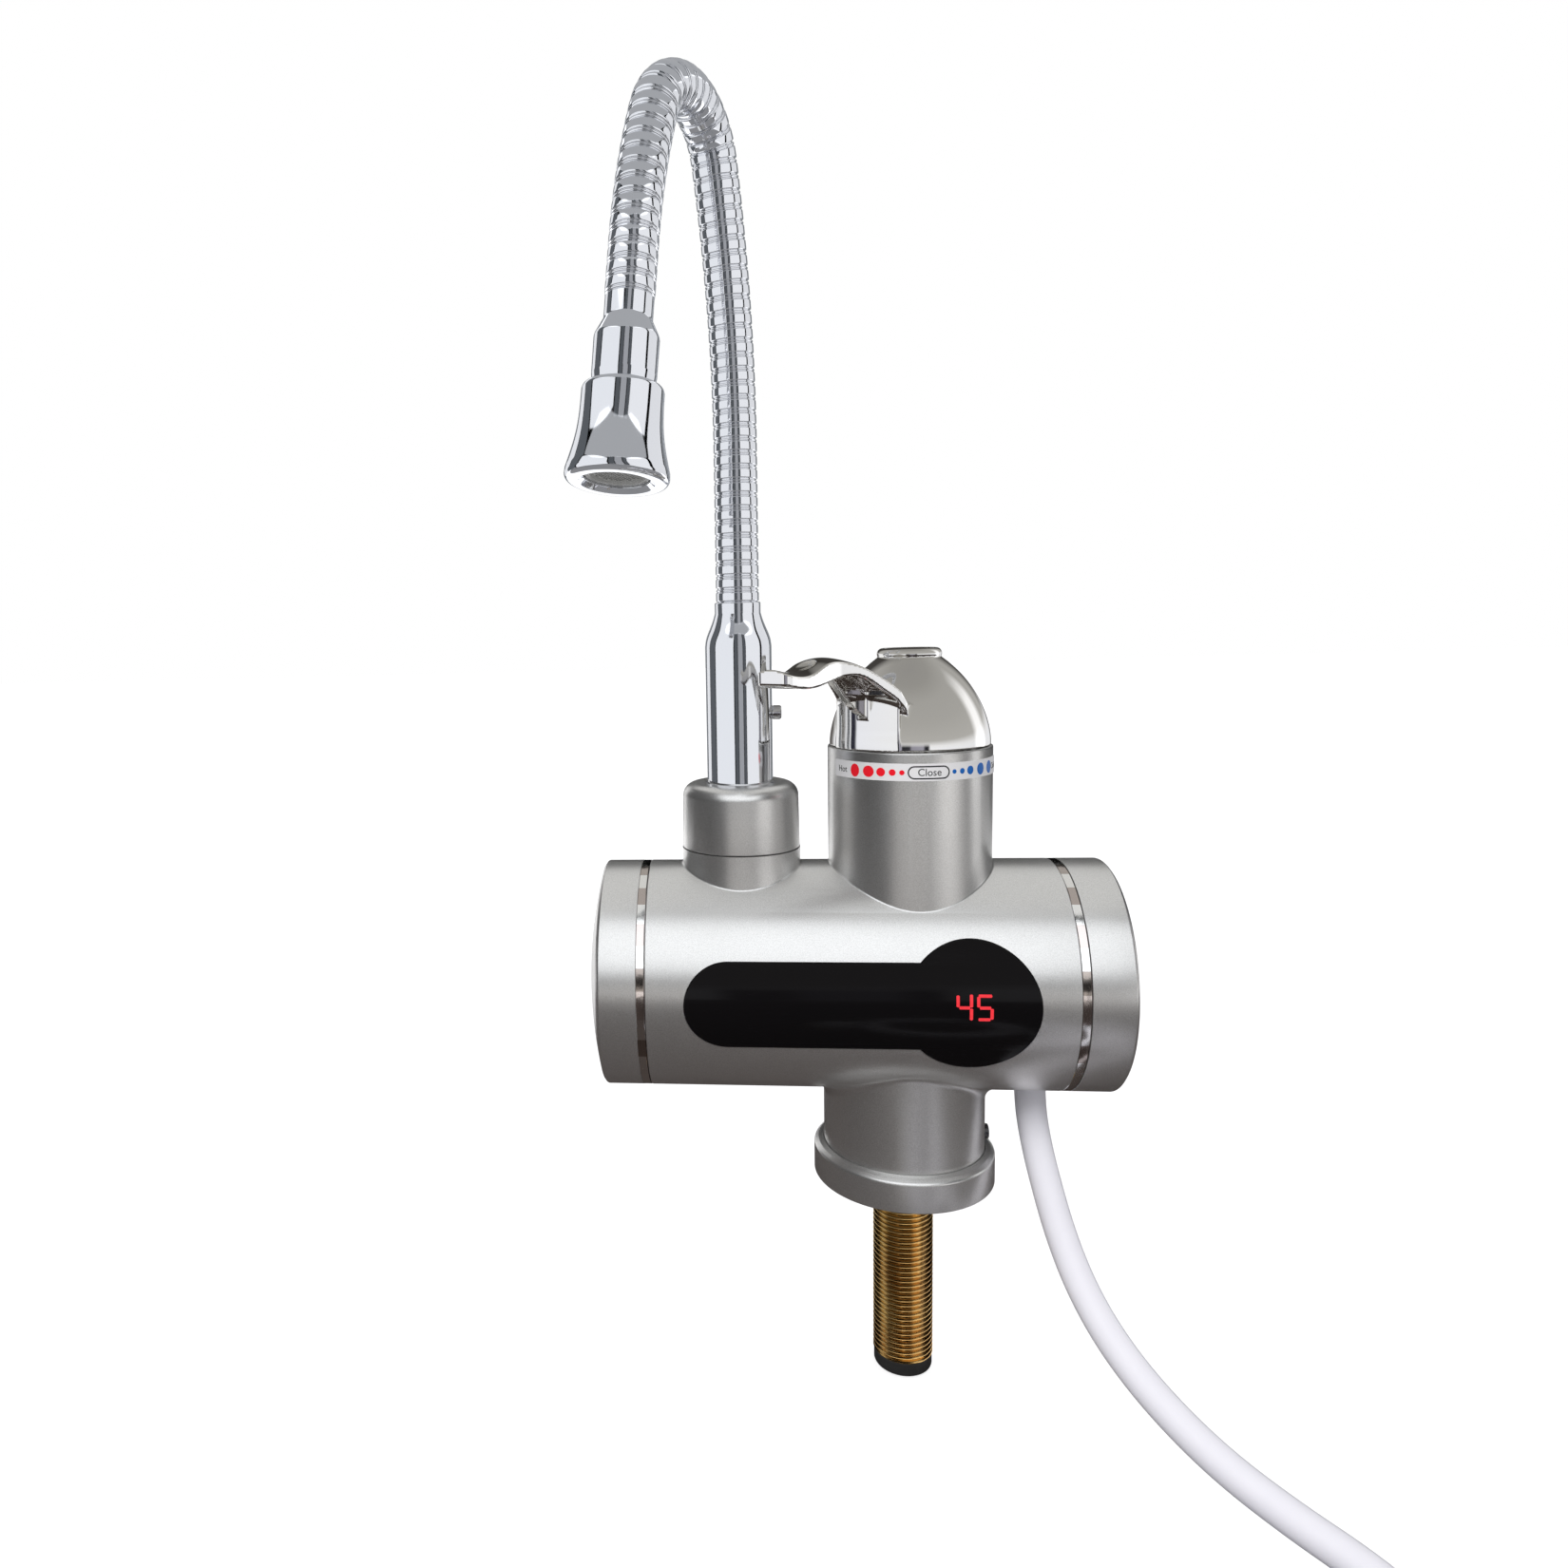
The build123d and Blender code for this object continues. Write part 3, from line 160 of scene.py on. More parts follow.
class Finish(Graph):
    """One procedural material, with the nodes that make it."""

    def __init__(self, name, colour, roughness, metallic=0.0, **constants):
        self.material = bpy.data.materials.new(name)
        self.material.use_nodes = True
        super().__init__(self.material.node_tree)
        self.shader = self.tree.nodes["Principled BSDF"]
        self.feed("Base Color", colour)
        self.feed("Roughness", roughness)
        self.feed("Metallic", metallic)
        for socket, value in constants.items():
            self.feed(socket.replace("_", " "), value)

    def feed(self, socket, value):
        self.put(self.shader.inputs[socket], value)

    def place(self):
        return self.node("ShaderNodeTexCoord", output=3)

    def parts(self):
        """The X, Y and Z of the place on the piece, in metres."""
        return self.split(self.place())

    def noise(self, scale, detail=2.0, rough=0.5, vector=None):
        return self.node("ShaderNodeTexNoise", {"Vector": vector or self.place(), "Scale": scale,
                                                "Detail": detail, "Roughness": rough})

    def noise_along(self, place, scale, detail):
        return self.node("ShaderNodeTexNoise", {"W": place, "Scale": scale, "Detail": detail},
                         noise_dimensions="1D")

    def ramp(self, share, stops):
        """A colour by a share, through (share, colour) stops; one number stands for a grey."""
        graded = self.node("ShaderNodeValToRGB", {0: share})
        elements = graded.socket.node.color_ramp.elements
        while len(elements) < len(stops):
            elements.new(0.5)
        for element, (place, shade) in zip(elements, stops):
            element.position = place
            element.color = (*shade, 1.0) if isinstance(shade, tuple) else (shade, shade, shade, 1.0)
        return graded

    def bump(self, height, strength, distance):
        self.feed("Normal", self.node("ShaderNodeBump", {"Height": height, "Strength": strength,
                                                         "Distance": distance}))


def silver_paint():
    """Silver paint sprayed on plastic: fine metal flake, a slight orange peel and a thin clear coat."""
    finish = Finish("silver_spray_paint", (0.7, 0.7, 0.7), 0.3, 0.88, Coat_Weight=0.06, Coat_Roughness=0.2)
    flake = finish.noise(3600.0, 1.0, 0.6)
    cloud = finish.noise(45.0, 3.0, 0.55)
    shade = finish.ramp(flake, [(0.3, (0.60, 0.595, 0.585)), (0.52, (0.71, 0.705, 0.695)),
                                (0.75, (0.82, 0.815, 0.81))])
    finish.feed("Base Color", finish.mix(cloud * 0.25, shade, (0.63, 0.62, 0.605)))
    finish.feed("Roughness", 0.27 + 0.07 * flake + 0.05 * cloud)
    peel = finish.noise(900.0, 2.0, 0.5)
    finish.bump(peel + 0.6 * flake, 0.12, 0.00006)
    return finish.material


def foil():
    """Self-adhesive bright foil, pressed on in short flats that tilt its bump, each flat with a painted
    reflection of its own, from brown through grey to near white.
    """
    finish = Finish("trim_foil", (0.8, 0.79, 0.77), 0.12, 1.0)
    _, y, z = finish.parts()
    angle = finish.maths("ARCTAN2", z - axis_height * MM, y)
    flats_and_painted_reflections = finish.noise_along(finish.maths("FLOOR", angle * 5.3) * 3.7, 1.0, 0.0)
    # Painted reflections: each flat gets a colour from brown to near white, standing in for what the creased
    # foil reflects.
    finish.feed("Base Color", finish.ramp(flats_and_painted_reflections, [(0.30, (0.42, 0.37, 0.34)), (0.42, (0.70, 0.62, 0.60)),
                                                  (0.5, (0.80, 0.79, 0.77)), (0.62, (0.90, 0.90, 0.89))]))
    wave = finish.noise(260.0, 2.0, 0.5)
    finish.feed("Roughness", 0.09 + 0.12 * wave)
    finish.bump(wave + 1.5 * flats_and_painted_reflections, 0.35, 0.00012)
    return finish.material


def chrome(name, colour, smudge):
    """Polished chrome plate, with the faint haze and water marks of a kitchen fitting."""
    finish = Finish(name, colour, 0.05, 1.0)
    haze = finish.noise(28.0, 3.0, 0.6)
    grain = finish.noise(420.0, 2.0, 0.5)
    finish.feed("Roughness", 0.035 + smudge * haze + 0.02 * grain)
    finish.feed("Base Color", finish.mix(haze * 0.2, colour, tuple(0.94 * c for c in colour)))
    finish.bump(finish.noise(60.0, 1.0, 0.5), 0.05, 0.00008)
    return finish.material


def brass(name, colour, stain):
    """Turned brass, darkened unevenly by handling, with fine turning marks round it."""
    finish = Finish(name, colour, 0.25, 1.0)
    cloud = finish.noise(32.0, 3.0, 0.55)
    finish.feed("Base Color", finish.ramp(cloud, [(0.3, stain), (0.62, colour)]))
    finish.feed("Roughness", 0.17 + 0.16 * cloud)
    finish.bump(finish.noise_along(finish.parts()[2], 6000.0, 1.0), 0.2, 0.00003)
    return finish.material


def moulding(name, colour, roughness, speckle=0.05, coat=0.0):
    """Moulded plastic with a fine spark-eroded grain and a little unevenness in its colour."""
    finish = Finish(name, colour, roughness, 0.0, Coat_Weight=coat, Coat_Roughness=0.12)
    grain = finish.noise(1500.0, 2.0, 0.6)
    cloud = finish.noise(60.0, 2.0, 0.5)
    darker = tuple(max(0.0, c * (1.0 - 2.5 * speckle)) for c in colour)
    finish.feed("Base Color", finish.mix(cloud * 0.6, colour, darker))
    finish.feed("Roughness", roughness * 0.85 + 0.15 * grain)
    finish.bump(grain, 0.15, 0.00005)
    return finish.material


def rubber(name, colour):
    finish = Finish(name, colour, 0.6, 0.0)
    bloom = finish.noise(140.0, 3.0, 0.6)
    finish.feed("Base Color", finish.mix(bloom * 0.5, colour, tuple(c + 0.03 for c in colour)))
    finish.feed("Roughness", 0.5 + 0.25 * bloom)
    finish.bump(finish.noise(900.0, 2.0, 0.5), 0.2, 0.00008)
    return finish.material


def black_glass():
    """Gloss black acrylic of the display window, with hairline wiping marks."""
    finish = Finish("window_acrylic", (0.005, 0.0045, 0.005), 0.12, 0.0, Specular_IOR_Level=0.1)
    drawn = finish.node("ShaderNodeMapping", {"Vector": finish.place(), "Scale": (1.0, 1.0, 6.0)})
    wipe = finish.noise(120.0, 3.0, 0.6, drawn)
    finish.feed("Roughness", 0.1 + 0.08 * wipe)
    return finish.material


def glowing(name, colour, strength):
    """Lit display segment, a touch brighter in small random patches."""
    finish = Finish(name, (0.25, 0.01, 0.01), 0.35, 0.0, Emission_Strength=strength)
    patch = finish.noise(700.0, 1.0, 0.5)
    finish.feed("Emission Color", finish.mix(patch, colour, tuple(min(1.0, c * 1.25 + 0.03) for c in colour)))
    return finish.material


def printed(name, colour):
    """Screen-printed ink or label stock: flat, with a very fine tooth."""
    finish = Finish(name, colour, 0.42, 0.0, Specular_IOR_Level=0.2)
    tooth = finish.noise(2600.0, 2.0, 0.6)
    finish.feed("Base Color", finish.mix(tooth * 0.35, colour, tuple(c * 0.93 for c in colour)))
    finish.feed("Roughness", 0.36 + 0.12 * tooth)
    return finish.material


def circuit_board():
    """Varnished board: green, with copper tracks just showing under the varnish."""
    finish = Finish("circuit_board", (0.03, 0.16, 0.08), 0.28, 0.0, Coat_Weight=0.5, Coat_Roughness=0.1)
    tracks = {"Vector": finish.place(), "Scale": 260.0, "Color1": (0.03, 0.17, 0.085),
              "Color2": (0.035, 0.2, 0.1), "Mortar": (0.09, 0.3, 0.16), "Mortar Size": 0.06}
    finish.feed("Base Color", finish.node("ShaderNodeTexBrick", tracks, offset=0.37))
    return finish.material


def white_sheath():
    """White cord sheath: slightly glossy, faintly mottled, with a fine bumpy tooth."""
    finish = Finish("cord_sheath", (0.84, 0.84, 0.87), 0.34, 0.0)
    cloud = finish.noise(90.0, 3.0, 0.55)
    finish.feed("Base Color", finish.mix(cloud * 0.7, (0.88, 0.875, 0.93), (0.81, 0.80, 0.87)))
    finish.feed("Roughness", 0.28 + 0.16 * cloud)
    finish.bump(finish.noise(1100.0, 2.0, 0.5), 0.12, 0.00006)
    return finish.material


FINISHES = {
    "silver": silver_paint(),
    "foil": foil(),
    "spout_chrome": chrome("spout_chrome", (0.80, 0.81, 0.84), 0.03),
    "handle_chrome": chrome("handle_chrome", (0.80, 0.785, 0.755), 0.04),
    "window": black_glass(),
    "figures": glowing("lit_figures", (0.62, 0.012, 0.025), 1.0),
    "label": printed("band_label", (0.76, 0.755, 0.765)),
    "red": printed("red_ink", (0.86, 0.006, 0.02)),
    "blue": printed("blue_ink", (0.006, 0.12, 0.45)),
    "black_ink": printed("black_ink", (0.015, 0.015, 0.017)),
    "rubber": rubber("black_rubber", (0.012, 0.012, 0.012)),
    "seal": rubber("seal_rubber", (0.05, 0.05, 0.052)),
    "brass": brass("inlet_brass", (0.80, 0.57, 0.23), (0.56, 0.30, 0.10)),
    "pin_brass": brass("pin_brass", (0.78, 0.62, 0.34), (0.60, 0.43, 0.20)),
    "dark_metal": chrome("blackened_steel", (0.14, 0.14, 0.15), 0.25),
    "steel": chrome("bright_steel", (0.62, 0.62, 0.63), 0.30),
    "white_moulding": moulding("white_moulding", (0.80, 0.79, 0.76), 0.42),
    "black_moulding": moulding("black_moulding", (0.022, 0.022, 0.023), 0.45),
    "relay": moulding("relay_case", (0.02, 0.06, 0.20), 0.35, coat=0.2),
    "ceramic": moulding("ground_ceramic", (0.86, 0.85, 0.81), 0.22, 0.02, 0.4),
    "board": circuit_board(),
    "dark_filter": moulding("display_filter", (0.06, 0.008, 0.008), 0.2, 0.02, 0.5),
    "aerator": moulding("aerator_mesh", (0.60, 0.60, 0.575), 0.38, 0.06),
    "cord": white_sheath(),
    "plug": moulding("plug_moulding", (0.84, 0.84, 0.86), 0.36, 0.03, 0.1),
}


# Making meshes

def linked(name, data):
    """A new object in the scene, from its mesh, curve, lamp or camera."""
    piece = bpy.data.objects.new(name, data)
    bpy.context.scene.collection.objects.link(piece)
    return piece


def evaluated(piece):
    """The mesh that a piece's modifiers, its curve or its text make."""
    graph = bpy.context.evaluated_depsgraph_get()
    return bpy.data.meshes.new_from_object(piece.evaluated_get(graph))


def made(name, points, faces, crease=32.0):
    """A piece from points in millimetres, smooth except at edges sharper than crease degrees."""
    mesh = bpy.data.meshes.new(name)
    mesh.from_pydata((np.asarray(points, float) * MM).tolist(), [], [list(map(int, face)) for face in faces])
    return finished(linked(name, mesh), crease)


def finished(piece, crease=32.0):
    """Merges doubles, turns the faces outwards and sets the smoothing."""
    work = bmesh.new()
    work.from_mesh(piece.data)
    bmesh.ops.remove_doubles(work, verts=work.verts, dist=1e-6)
    bmesh.ops.dissolve_degenerate(work, dist=1e-7, edges=work.edges)
    bmesh.ops.recalc_face_normals(work, faces=work.faces)
    work.to_mesh(piece.data)
    work.free()
    piece.data.shade_smooth()
    piece.data.set_sharp_from_angle(angle=math.radians(crease))
    return piece


def fitted(piece, body, finish, slot, *nodes):
    """Gives a finished piece its material and body, and hides the CAD nodes that it stands for. The slot is
    not used.
    """
    piece.data.materials.clear()
    piece.data.materials.append(FINISHES[finish])
    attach(piece, body)
    if nodes:
        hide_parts(*nodes)
    return piece


def merged(name, pieces):
    """Several pieces made into one mesh."""
    work = bmesh.new()
    for piece in pieces:
        work.from_mesh(piece.data)
        bpy.data.objects.remove(piece)
    mesh = bpy.data.meshes.new(name)
    work.to_mesh(mesh)
    work.free()
    return linked(name, mesh)


def swung(first, last, share, sweep):
    """The arm at a share of the way from one arm round to another; sweep is the angle between the two."""
    return (first * math.sin((1 - share) * sweep) + last * math.sin(share * sweep)) / math.sin(sweep)


def rounded(corners, step=9.0):
    """A closed outline whose corners, (distance, height, rounding), are rounded by arcs."""
    outline = []
    for i, corner in enumerate(corners):
        here = Vector(corner[:2])
        rounding = corner[2] if len(corner) > 2 else 0.0
        if not rounding:
            outline.append(tuple(here))
            continue
        back = (Vector(corners[i - 1][:2]) - here).normalized()
        on = (Vector(corners[(i + 1) % len(corners)][:2]) - here).normalized()
        half = back.angle(on) / 2
        centre = here + (back + on).normalized() * (rounding / math.sin(half))
        first = here + back * (rounding / math.tan(half)) - centre
        last = here + on * (rounding / math.tan(half)) - centre
        sweep = math.pi - 2 * half
        steps = max(3, math.ceil(math.degrees(sweep) / step))
        outline += [tuple(centre + swung(first, last, k / steps, sweep)) for k in range(steps + 1)]
    return outline


def lathe(outline, segments=160):
    """Points and faces of a solid turned about Z, from its closed outline of (radius, height)."""
    points, rings = [], []
    turns = [2 * math.pi * k / segments for k in range(segments)]
    for radius, height in outline:
        start = len(points)
        if abs(radius) < 1e-6:
            rings.append([start] * segments)
            points.append((0.0, 0.0, height))
        else:
            rings.append(list(range(start, start + segments)))
            points += [(radius * math.cos(a), radius * math.sin(a), height) for a in turns]
    faces = []
    for lower, upper in zip(rings, rings[1:] + rings[:1]):
        for i in range(segments):
            j = (i + 1) % segments
            face = list(dict.fromkeys((lower[i], lower[j], upper[j], upper[i])))
            if len(face) > 2:
                faces.append(face)
    return np.array(points), faces


def strips(rows, count):
    """The faces between rows of points, each row running round and the points numbered row by row."""
    faces = []
    for start in range(0, (rows - 1) * count, count):
        for i in range(count):
            j = (i + 1) % count
            faces.append([start + i, start + j, start + count + j, start + count + i])
    return faces


def capped_strips(rows, count):
    """The strips with a face at each end."""
    return [list(range(count)), list(range((rows - 1) * count, rows * count))] + strips(rows, count)


def upright_at(x):
    return Matrix.Translation((x, 0.0, 0.0))


def lying_at(x, height):
    """A place at Y 0 whose own Z runs along +X."""
    return Matrix.Translation((x, 0.0, height)) @ Matrix.Rotation(math.radians(90), 4, "Y")


def standing(origin, along, side):
    """A place with its Z along a direction and its X near to another."""
    z = Vector(along).normalized()
    x = (Vector(side) - z * z.dot(Vector(side))).normalized()
    turn = Matrix((x, z.cross(x), z)).transposed().to_4x4()
    return Matrix.Translation(Vector(origin)) @ turn


def set_at(points, matrix):
    turn = np.array(matrix)
    return np.asarray(points) @ turn[:3, :3].T + turn[:3, 3]


def lathed(name, outline, matrix, segments=160, crease=32.0):
    points, faces = lathe(outline, segments)
    return made(name, set_at(points, matrix), faces, crease)


def turned(name, corners, matrix, segments=160, step=9.0):
    return lathed(name, rounded(corners, step), matrix, segments)


def carved(base, tool, operation="DIFFERENCE"):
    """The piece after a Boolean with a tool, which is used up."""
    cut = base.modifiers.new("cut", "BOOLEAN")
    cut.operation = operation
    cut.solver = "EXACT"
    cut.object = tool
    mesh = evaluated(base)
    base.modifiers.remove(cut)
    base.data = mesh
    bpy.data.objects.remove(tool)
    return base


def rod(name, radius, bottom, top, matrix, segments=96):
    return lathed(name, [(0, bottom), (radius, bottom), (radius, top), (0, top)], matrix, segments)


def prism(name, outline, y_from, y_to):
    """A shape drawn in X and Z, run through in Y."""
    points = [(x, y, z) for y in (y_from, y_to) for x, z in outline]
    return made(name, points, capped_strips(2, len(outline)))


def drawn_line(name, kind, places):
    """A curve object through places in metres, and its one spline."""
    curve = bpy.data.curves.new(name, "CURVE")
    curve.dimensions = "3D"
    line = curve.splines.new(kind)
    line.points.add(len(places) - 1)
    for point, place in zip(line.points, places):
        point.co = (*place, 1.0)
    return linked(name, curve), line


def spline(xs, ys):
    """A natural cubic through points, as a function of arrays that holds its end values beyond them."""
    xs, ys = np.asarray(xs, float), np.asarray(ys, float)
    count, gap = len(xs), np.diff(xs)
    matrix, right = np.eye(count), np.zeros(count)
    for i in range(1, count - 1):
        matrix[i, i - 1:i + 2] = gap[i - 1], 2 * (gap[i - 1] + gap[i]), gap[i]
        right[i] = 6 * ((ys[i + 1] - ys[i]) / gap[i] - (ys[i] - ys[i - 1]) / gap[i - 1])
    bend = np.linalg.solve(matrix, right)

    def value(x):
        x = np.clip(x, xs[0], xs[-1])
        i = np.clip(np.searchsorted(xs, x) - 1, 0, count - 2)
        h, after, before = gap[i], x - xs[i], xs[i + 1] - x
        cubes = (bend[i] * before ** 3 + bend[i + 1] * after ** 3) / (6 * h)
        return cubes + (ys[i] / h - bend[i] * h / 6) * before + (ys[i + 1] / h - bend[i + 1] * h / 6) * after

    return value


# Cord: gland under the barrel, down to the surface, into the put-away coil, and the plug

cord_radius = 5.25
tie_gap, tie_thickness, tie_angle = 0.8, 1.0, -45.0
cord_lie = floor_height + cord_radius + tie_gap + tie_thickness
coil_centre = (64.0, -172.0)
coil_outer, coil_pitch, coil_start, coil_turns_in, coil_climb = 62.0, 11.1, 3.0, 1.7, 0.5
spline_pull = 0.981        # how far a turn of 16 points draws its spline inwards


def coil_place(turns, pull=1.0):
    angle = math.radians(coil_start) - 2 * math.pi * turns
    radius = (coil_outer - coil_pitch * (coil_turns_in - abs(turns - coil_turns_in))) / pull
    climbed = min(1.0, max(0.0, (turns - coil_turns_in) / coil_climb + 0.5))
    height = cord_lie + coil_pitch * (0.5 - 0.5 * math.cos(math.pi * climbed))
    middle_x, middle_y = coil_centre
    return Vector((middle_x + radius * math.cos(angle), middle_y + radius * math.sin(angle), height))


def cord_points():
    """The cord's control points in metres: its free stretch, then 16 a turn round the coil, then the tail."""
    route = [(0.0432, 0.0, 0.0420), (0.0432, 0.0, 0.0275), (0.0450, -0.0026, 0.0130),
             (0.0476, -0.0084, -0.0010),
             (0.0504, -0.0156, -0.0140), (0.0540, -0.0248, -0.0255), (0.0589, -0.0352, -0.0350),
             (0.0654, -0.0462, -0.0428), (0.0738, -0.0574, -0.0498), (0.0842, -0.0686, -0.0562),
             (0.0972, -0.0802, -0.0614), (0.1110, -0.0930, -0.0648), (0.1193, -0.1086, -0.0660),
             (0.1224, -0.1255, -0.06605), (0.12448, -0.14129, -0.06605), (0.12537, -0.15827, -0.06605)]
    turns = 2 * coil_turns_in
    steps = round(16 * turns)
    for k in range(steps + 1):
        pull = spline_pull if 0 < k < steps else 1.0
        route.append(tuple(coil_place(turns * k / steps, pull) * MM))
    tail, heading = cord_end()
    route.append(tuple((tail - heading * 13.0) * MM))
    route.append(tuple(tail * MM))
    return route


def cord_end():
    """Where the plug starts, and the cord's heading there."""
    heading = Vector((-0.65596, 0.7548, 0.0)).normalized()
    return coil_place(2 * coil_turns_in) + heading * 26.0, heading


def mains_cord():
    cord, line = drawn_line("mains_cord_sheath", "NURBS", cord_points())
    line.order_u = 3
    line.use_endpoint_u = True
    line.resolution_u = 6
    cord.data.bevel_depth = cord_radius * MM
    cord.data.bevel_resolution = 7
    cord.data.use_fill_caps = True
    return fitted(cord, "housing", "cord", "cord", "mains_cord", "cord_coil")


def plug_pieces():
    """Round plug: ribbed tapered relief, fluted body and two round pins."""
    place = standing(*cord_end(), (0, 0, 1))
    radius = cord_lie + coil_pitch - floor_height
    relief = [(0.0, -20.0), (5.45, -20.0, 0.3), (5.9, -18.4, 0.3)]
    for rib in range(7):
        start, grow = -17.0 + 2.4 * rib, 0.28 * rib
        relief += [(5.55 + grow, start, 0.15), (5.55 + grow, start + 0.8, 0.15),
                   (6.35 + grow, start + 0.8, 0.25), (6.45 + grow, start + 2.4, 0.25)]
    relief += [(8.6, 0.4, 0.3), (8.6, 3.0), (0.0, 3.0)]
    strain = turned("plug_strain_relief", relief, place, 64)
    fitted(strain, "housing", "plug", "cord")
    grip = [(0, 0), (6.6, 0, 0.6), (8.4, 9, 3.0), (10.6, 13.2, 1.6), (radius - 0.5, 19.2, 1.6),
            (radius, 20.5, 0.8), (radius, 37.0, 0.8), (radius - 1.2, 40.0, 0.8), (0, 40.0)]
    body = turned("plug_grip_body", grip, place, 128)
    flutes = 18
    for k in range(flutes):
        turn = Matrix.Rotation(2 * math.pi * k / flutes, 4, "Z")
        body = carved(body, turned("flute", [(0, 22.0), (1.5, 22.0, 1.0), (1.5, 35.0, 1.0), (0, 35.0)],
                                   place @ turn @ upright_at(radius + 0.75), 20))
    sides = [place @ Matrix.Translation((0, 9.5 * side, 0)) for side in (-1, 1)]
    for side in sides:
        body = carved(body, rod("pin_hole", 2.45, 34.0, 42.0, side, 48))
    fitted(finished(body), "housing", "plug", "cord", "plug_body")
    shank = [(0, 36.0), (2.4, 36.0), (2.4, 50.6, 0.2), (2.25, 50.9, 0.15), (2.25, 54.0), (2.4, 54.3, 0.2),
             (2.4, 56.0, 1.2), (1.0, 58.0, 0.8), (0, 58.0)]
    pins = finished(merged("plug_pins_turned", [turned("pin", shank, side, 48) for side in sides]))
    fitted(pins, "housing", "pin_brass", "brass", "plug_pins")
    return [strain, body, pins]


def tie_strap():
    """Flat strap drawn tight round the coil's turns."""
    angle = math.radians(tie_angle)
    centre = Vector((*coil_centre, 0.0))
    outward = Vector((math.cos(angle), math.sin(angle), 0.0))
    along = outward.cross(Vector((0, 0, 1)))
    shift = (coil_start - tie_angle) / 360.0
    places = [coil_place(shift + turn) for turn in range(4)]
    spots = [((place - centre).dot(outward), place.z) for place in places]
    inner, outer = (hull_of(spots, cord_radius + gap) for gap in (tie_gap + 0.05, tie_gap + 0.95))
    half = 3.9
    loops = ((inner, -half), (outer, -half), (outer, half), (inner, half), (inner, -half))
    points = [centre + outward * reach + along * across + Vector((0, 0, height))
              for outline, across in loops for reach, height in outline]
    strap = made("cord_tie_strap", points, strips(len(loops), len(inner)), 40.0)
    bevel = strap.modifiers.new("edge", "BEVEL")
    bevel.width = 0.0002
    bevel.segments = 2
    bevel.limit_method = "ANGLE"
    mesh = evaluated(strap)
    strap.modifiers.remove(bevel)
    strap.data = mesh
    return fitted(finished(strap, 40.0), "housing", "black_moulding", "black_moulding", "cord_tie")


def hull_of(spots, radius, steps=96):
    """Points round circles of one radius at the spots, as a band drawn tight round them has."""
    outline = []
    for k in range(steps):
        turn = 2 * math.pi * k / steps
        ray = (math.cos(turn), math.sin(turn))
        best = max(spots, key=lambda spot: spot[0] * ray[0] + spot[1] * ray[1])
        outline.append((best[0] + radius * ray[0], best[1] + radius * ray[1]))
    return outline


# Barrel, caps, foil rings and pedestal

def flared_branch(name, x, radius, towards, far, blend, share=0.94, steps=14, segments=192):
    """An upright tube's outside that flares into the barrel by a rolling ball of the blend's radius."""
    rings = [[] for _ in range(steps + 4)]
    for k in range(segments):
        turn = 2 * math.pi * k / segments
        c, s = math.cos(turn), math.sin(turn)
        reach = barrel_radius + blend
        cx, cy = x + (radius + blend) * c, (radius + blend) * s
        lift = math.sqrt(reach ** 2 - cy ** 2)
        centre = np.array((cx, cy, axis_height + towards * lift))
        wall = np.array((x + radius * c, radius * s, centre[2])) - centre
        foot = -blend * np.array((0.0, cy, towards * lift)) / reach
        sweep = math.acos(np.clip(wall @ foot / blend ** 2, -1, 1))
        arc = [centre + swung(wall, foot, share * i / steps, sweep) for i in range(steps + 1)]
        slope = arc[-1] - arc[-2]
        under = arc[-1] + slope / np.linalg.norm(slope) * 1.2
        deep = np.array((x + (radius - 1.5) * c, (radius - 1.5) * s, axis_height))
        line = [np.array((x + radius * c, radius * s, far))] + arc + [under, deep]
        for ring, point in zip(rings, line):
            ring.append(point)
    return made(name, [point for ring in rings for point in ring], capped_strips(len(rings), segments))


def window_outline(inset, line_steps=40, arc_steps=72):
    """The window's key shape, drawn in X and height above the barrel's axis, moved in by an inset."""
    half, circle, circle_x, end_x = 14.2 - inset, 21.2 - inset, 16.0, -60.85
    meet_x = circle_x - math.sqrt(circle ** 2 - half ** 2)
    outline = [(meet_x + (end_x - meet_x) * k / line_steps, half) for k in range(line_steps)]
    for k in range(arc_steps // 2):
        turn = math.pi / 2 + math.pi * k / (arc_steps // 2)
        outline.append((end_x + half * math.cos(turn), half * math.sin(turn)))
    outline += [(end_x + (meet_x - end_x) * k / line_steps, -half) for k in range(line_steps)]
    meet = math.atan2(half, meet_x - circle_x)
    for k in range(arc_steps):
        turn = 2 * math.pi - meet + 2 * meet * k / arc_steps
        outline.append((circle_x + circle * math.cos(turn), circle * math.sin(turn)))
    return outline


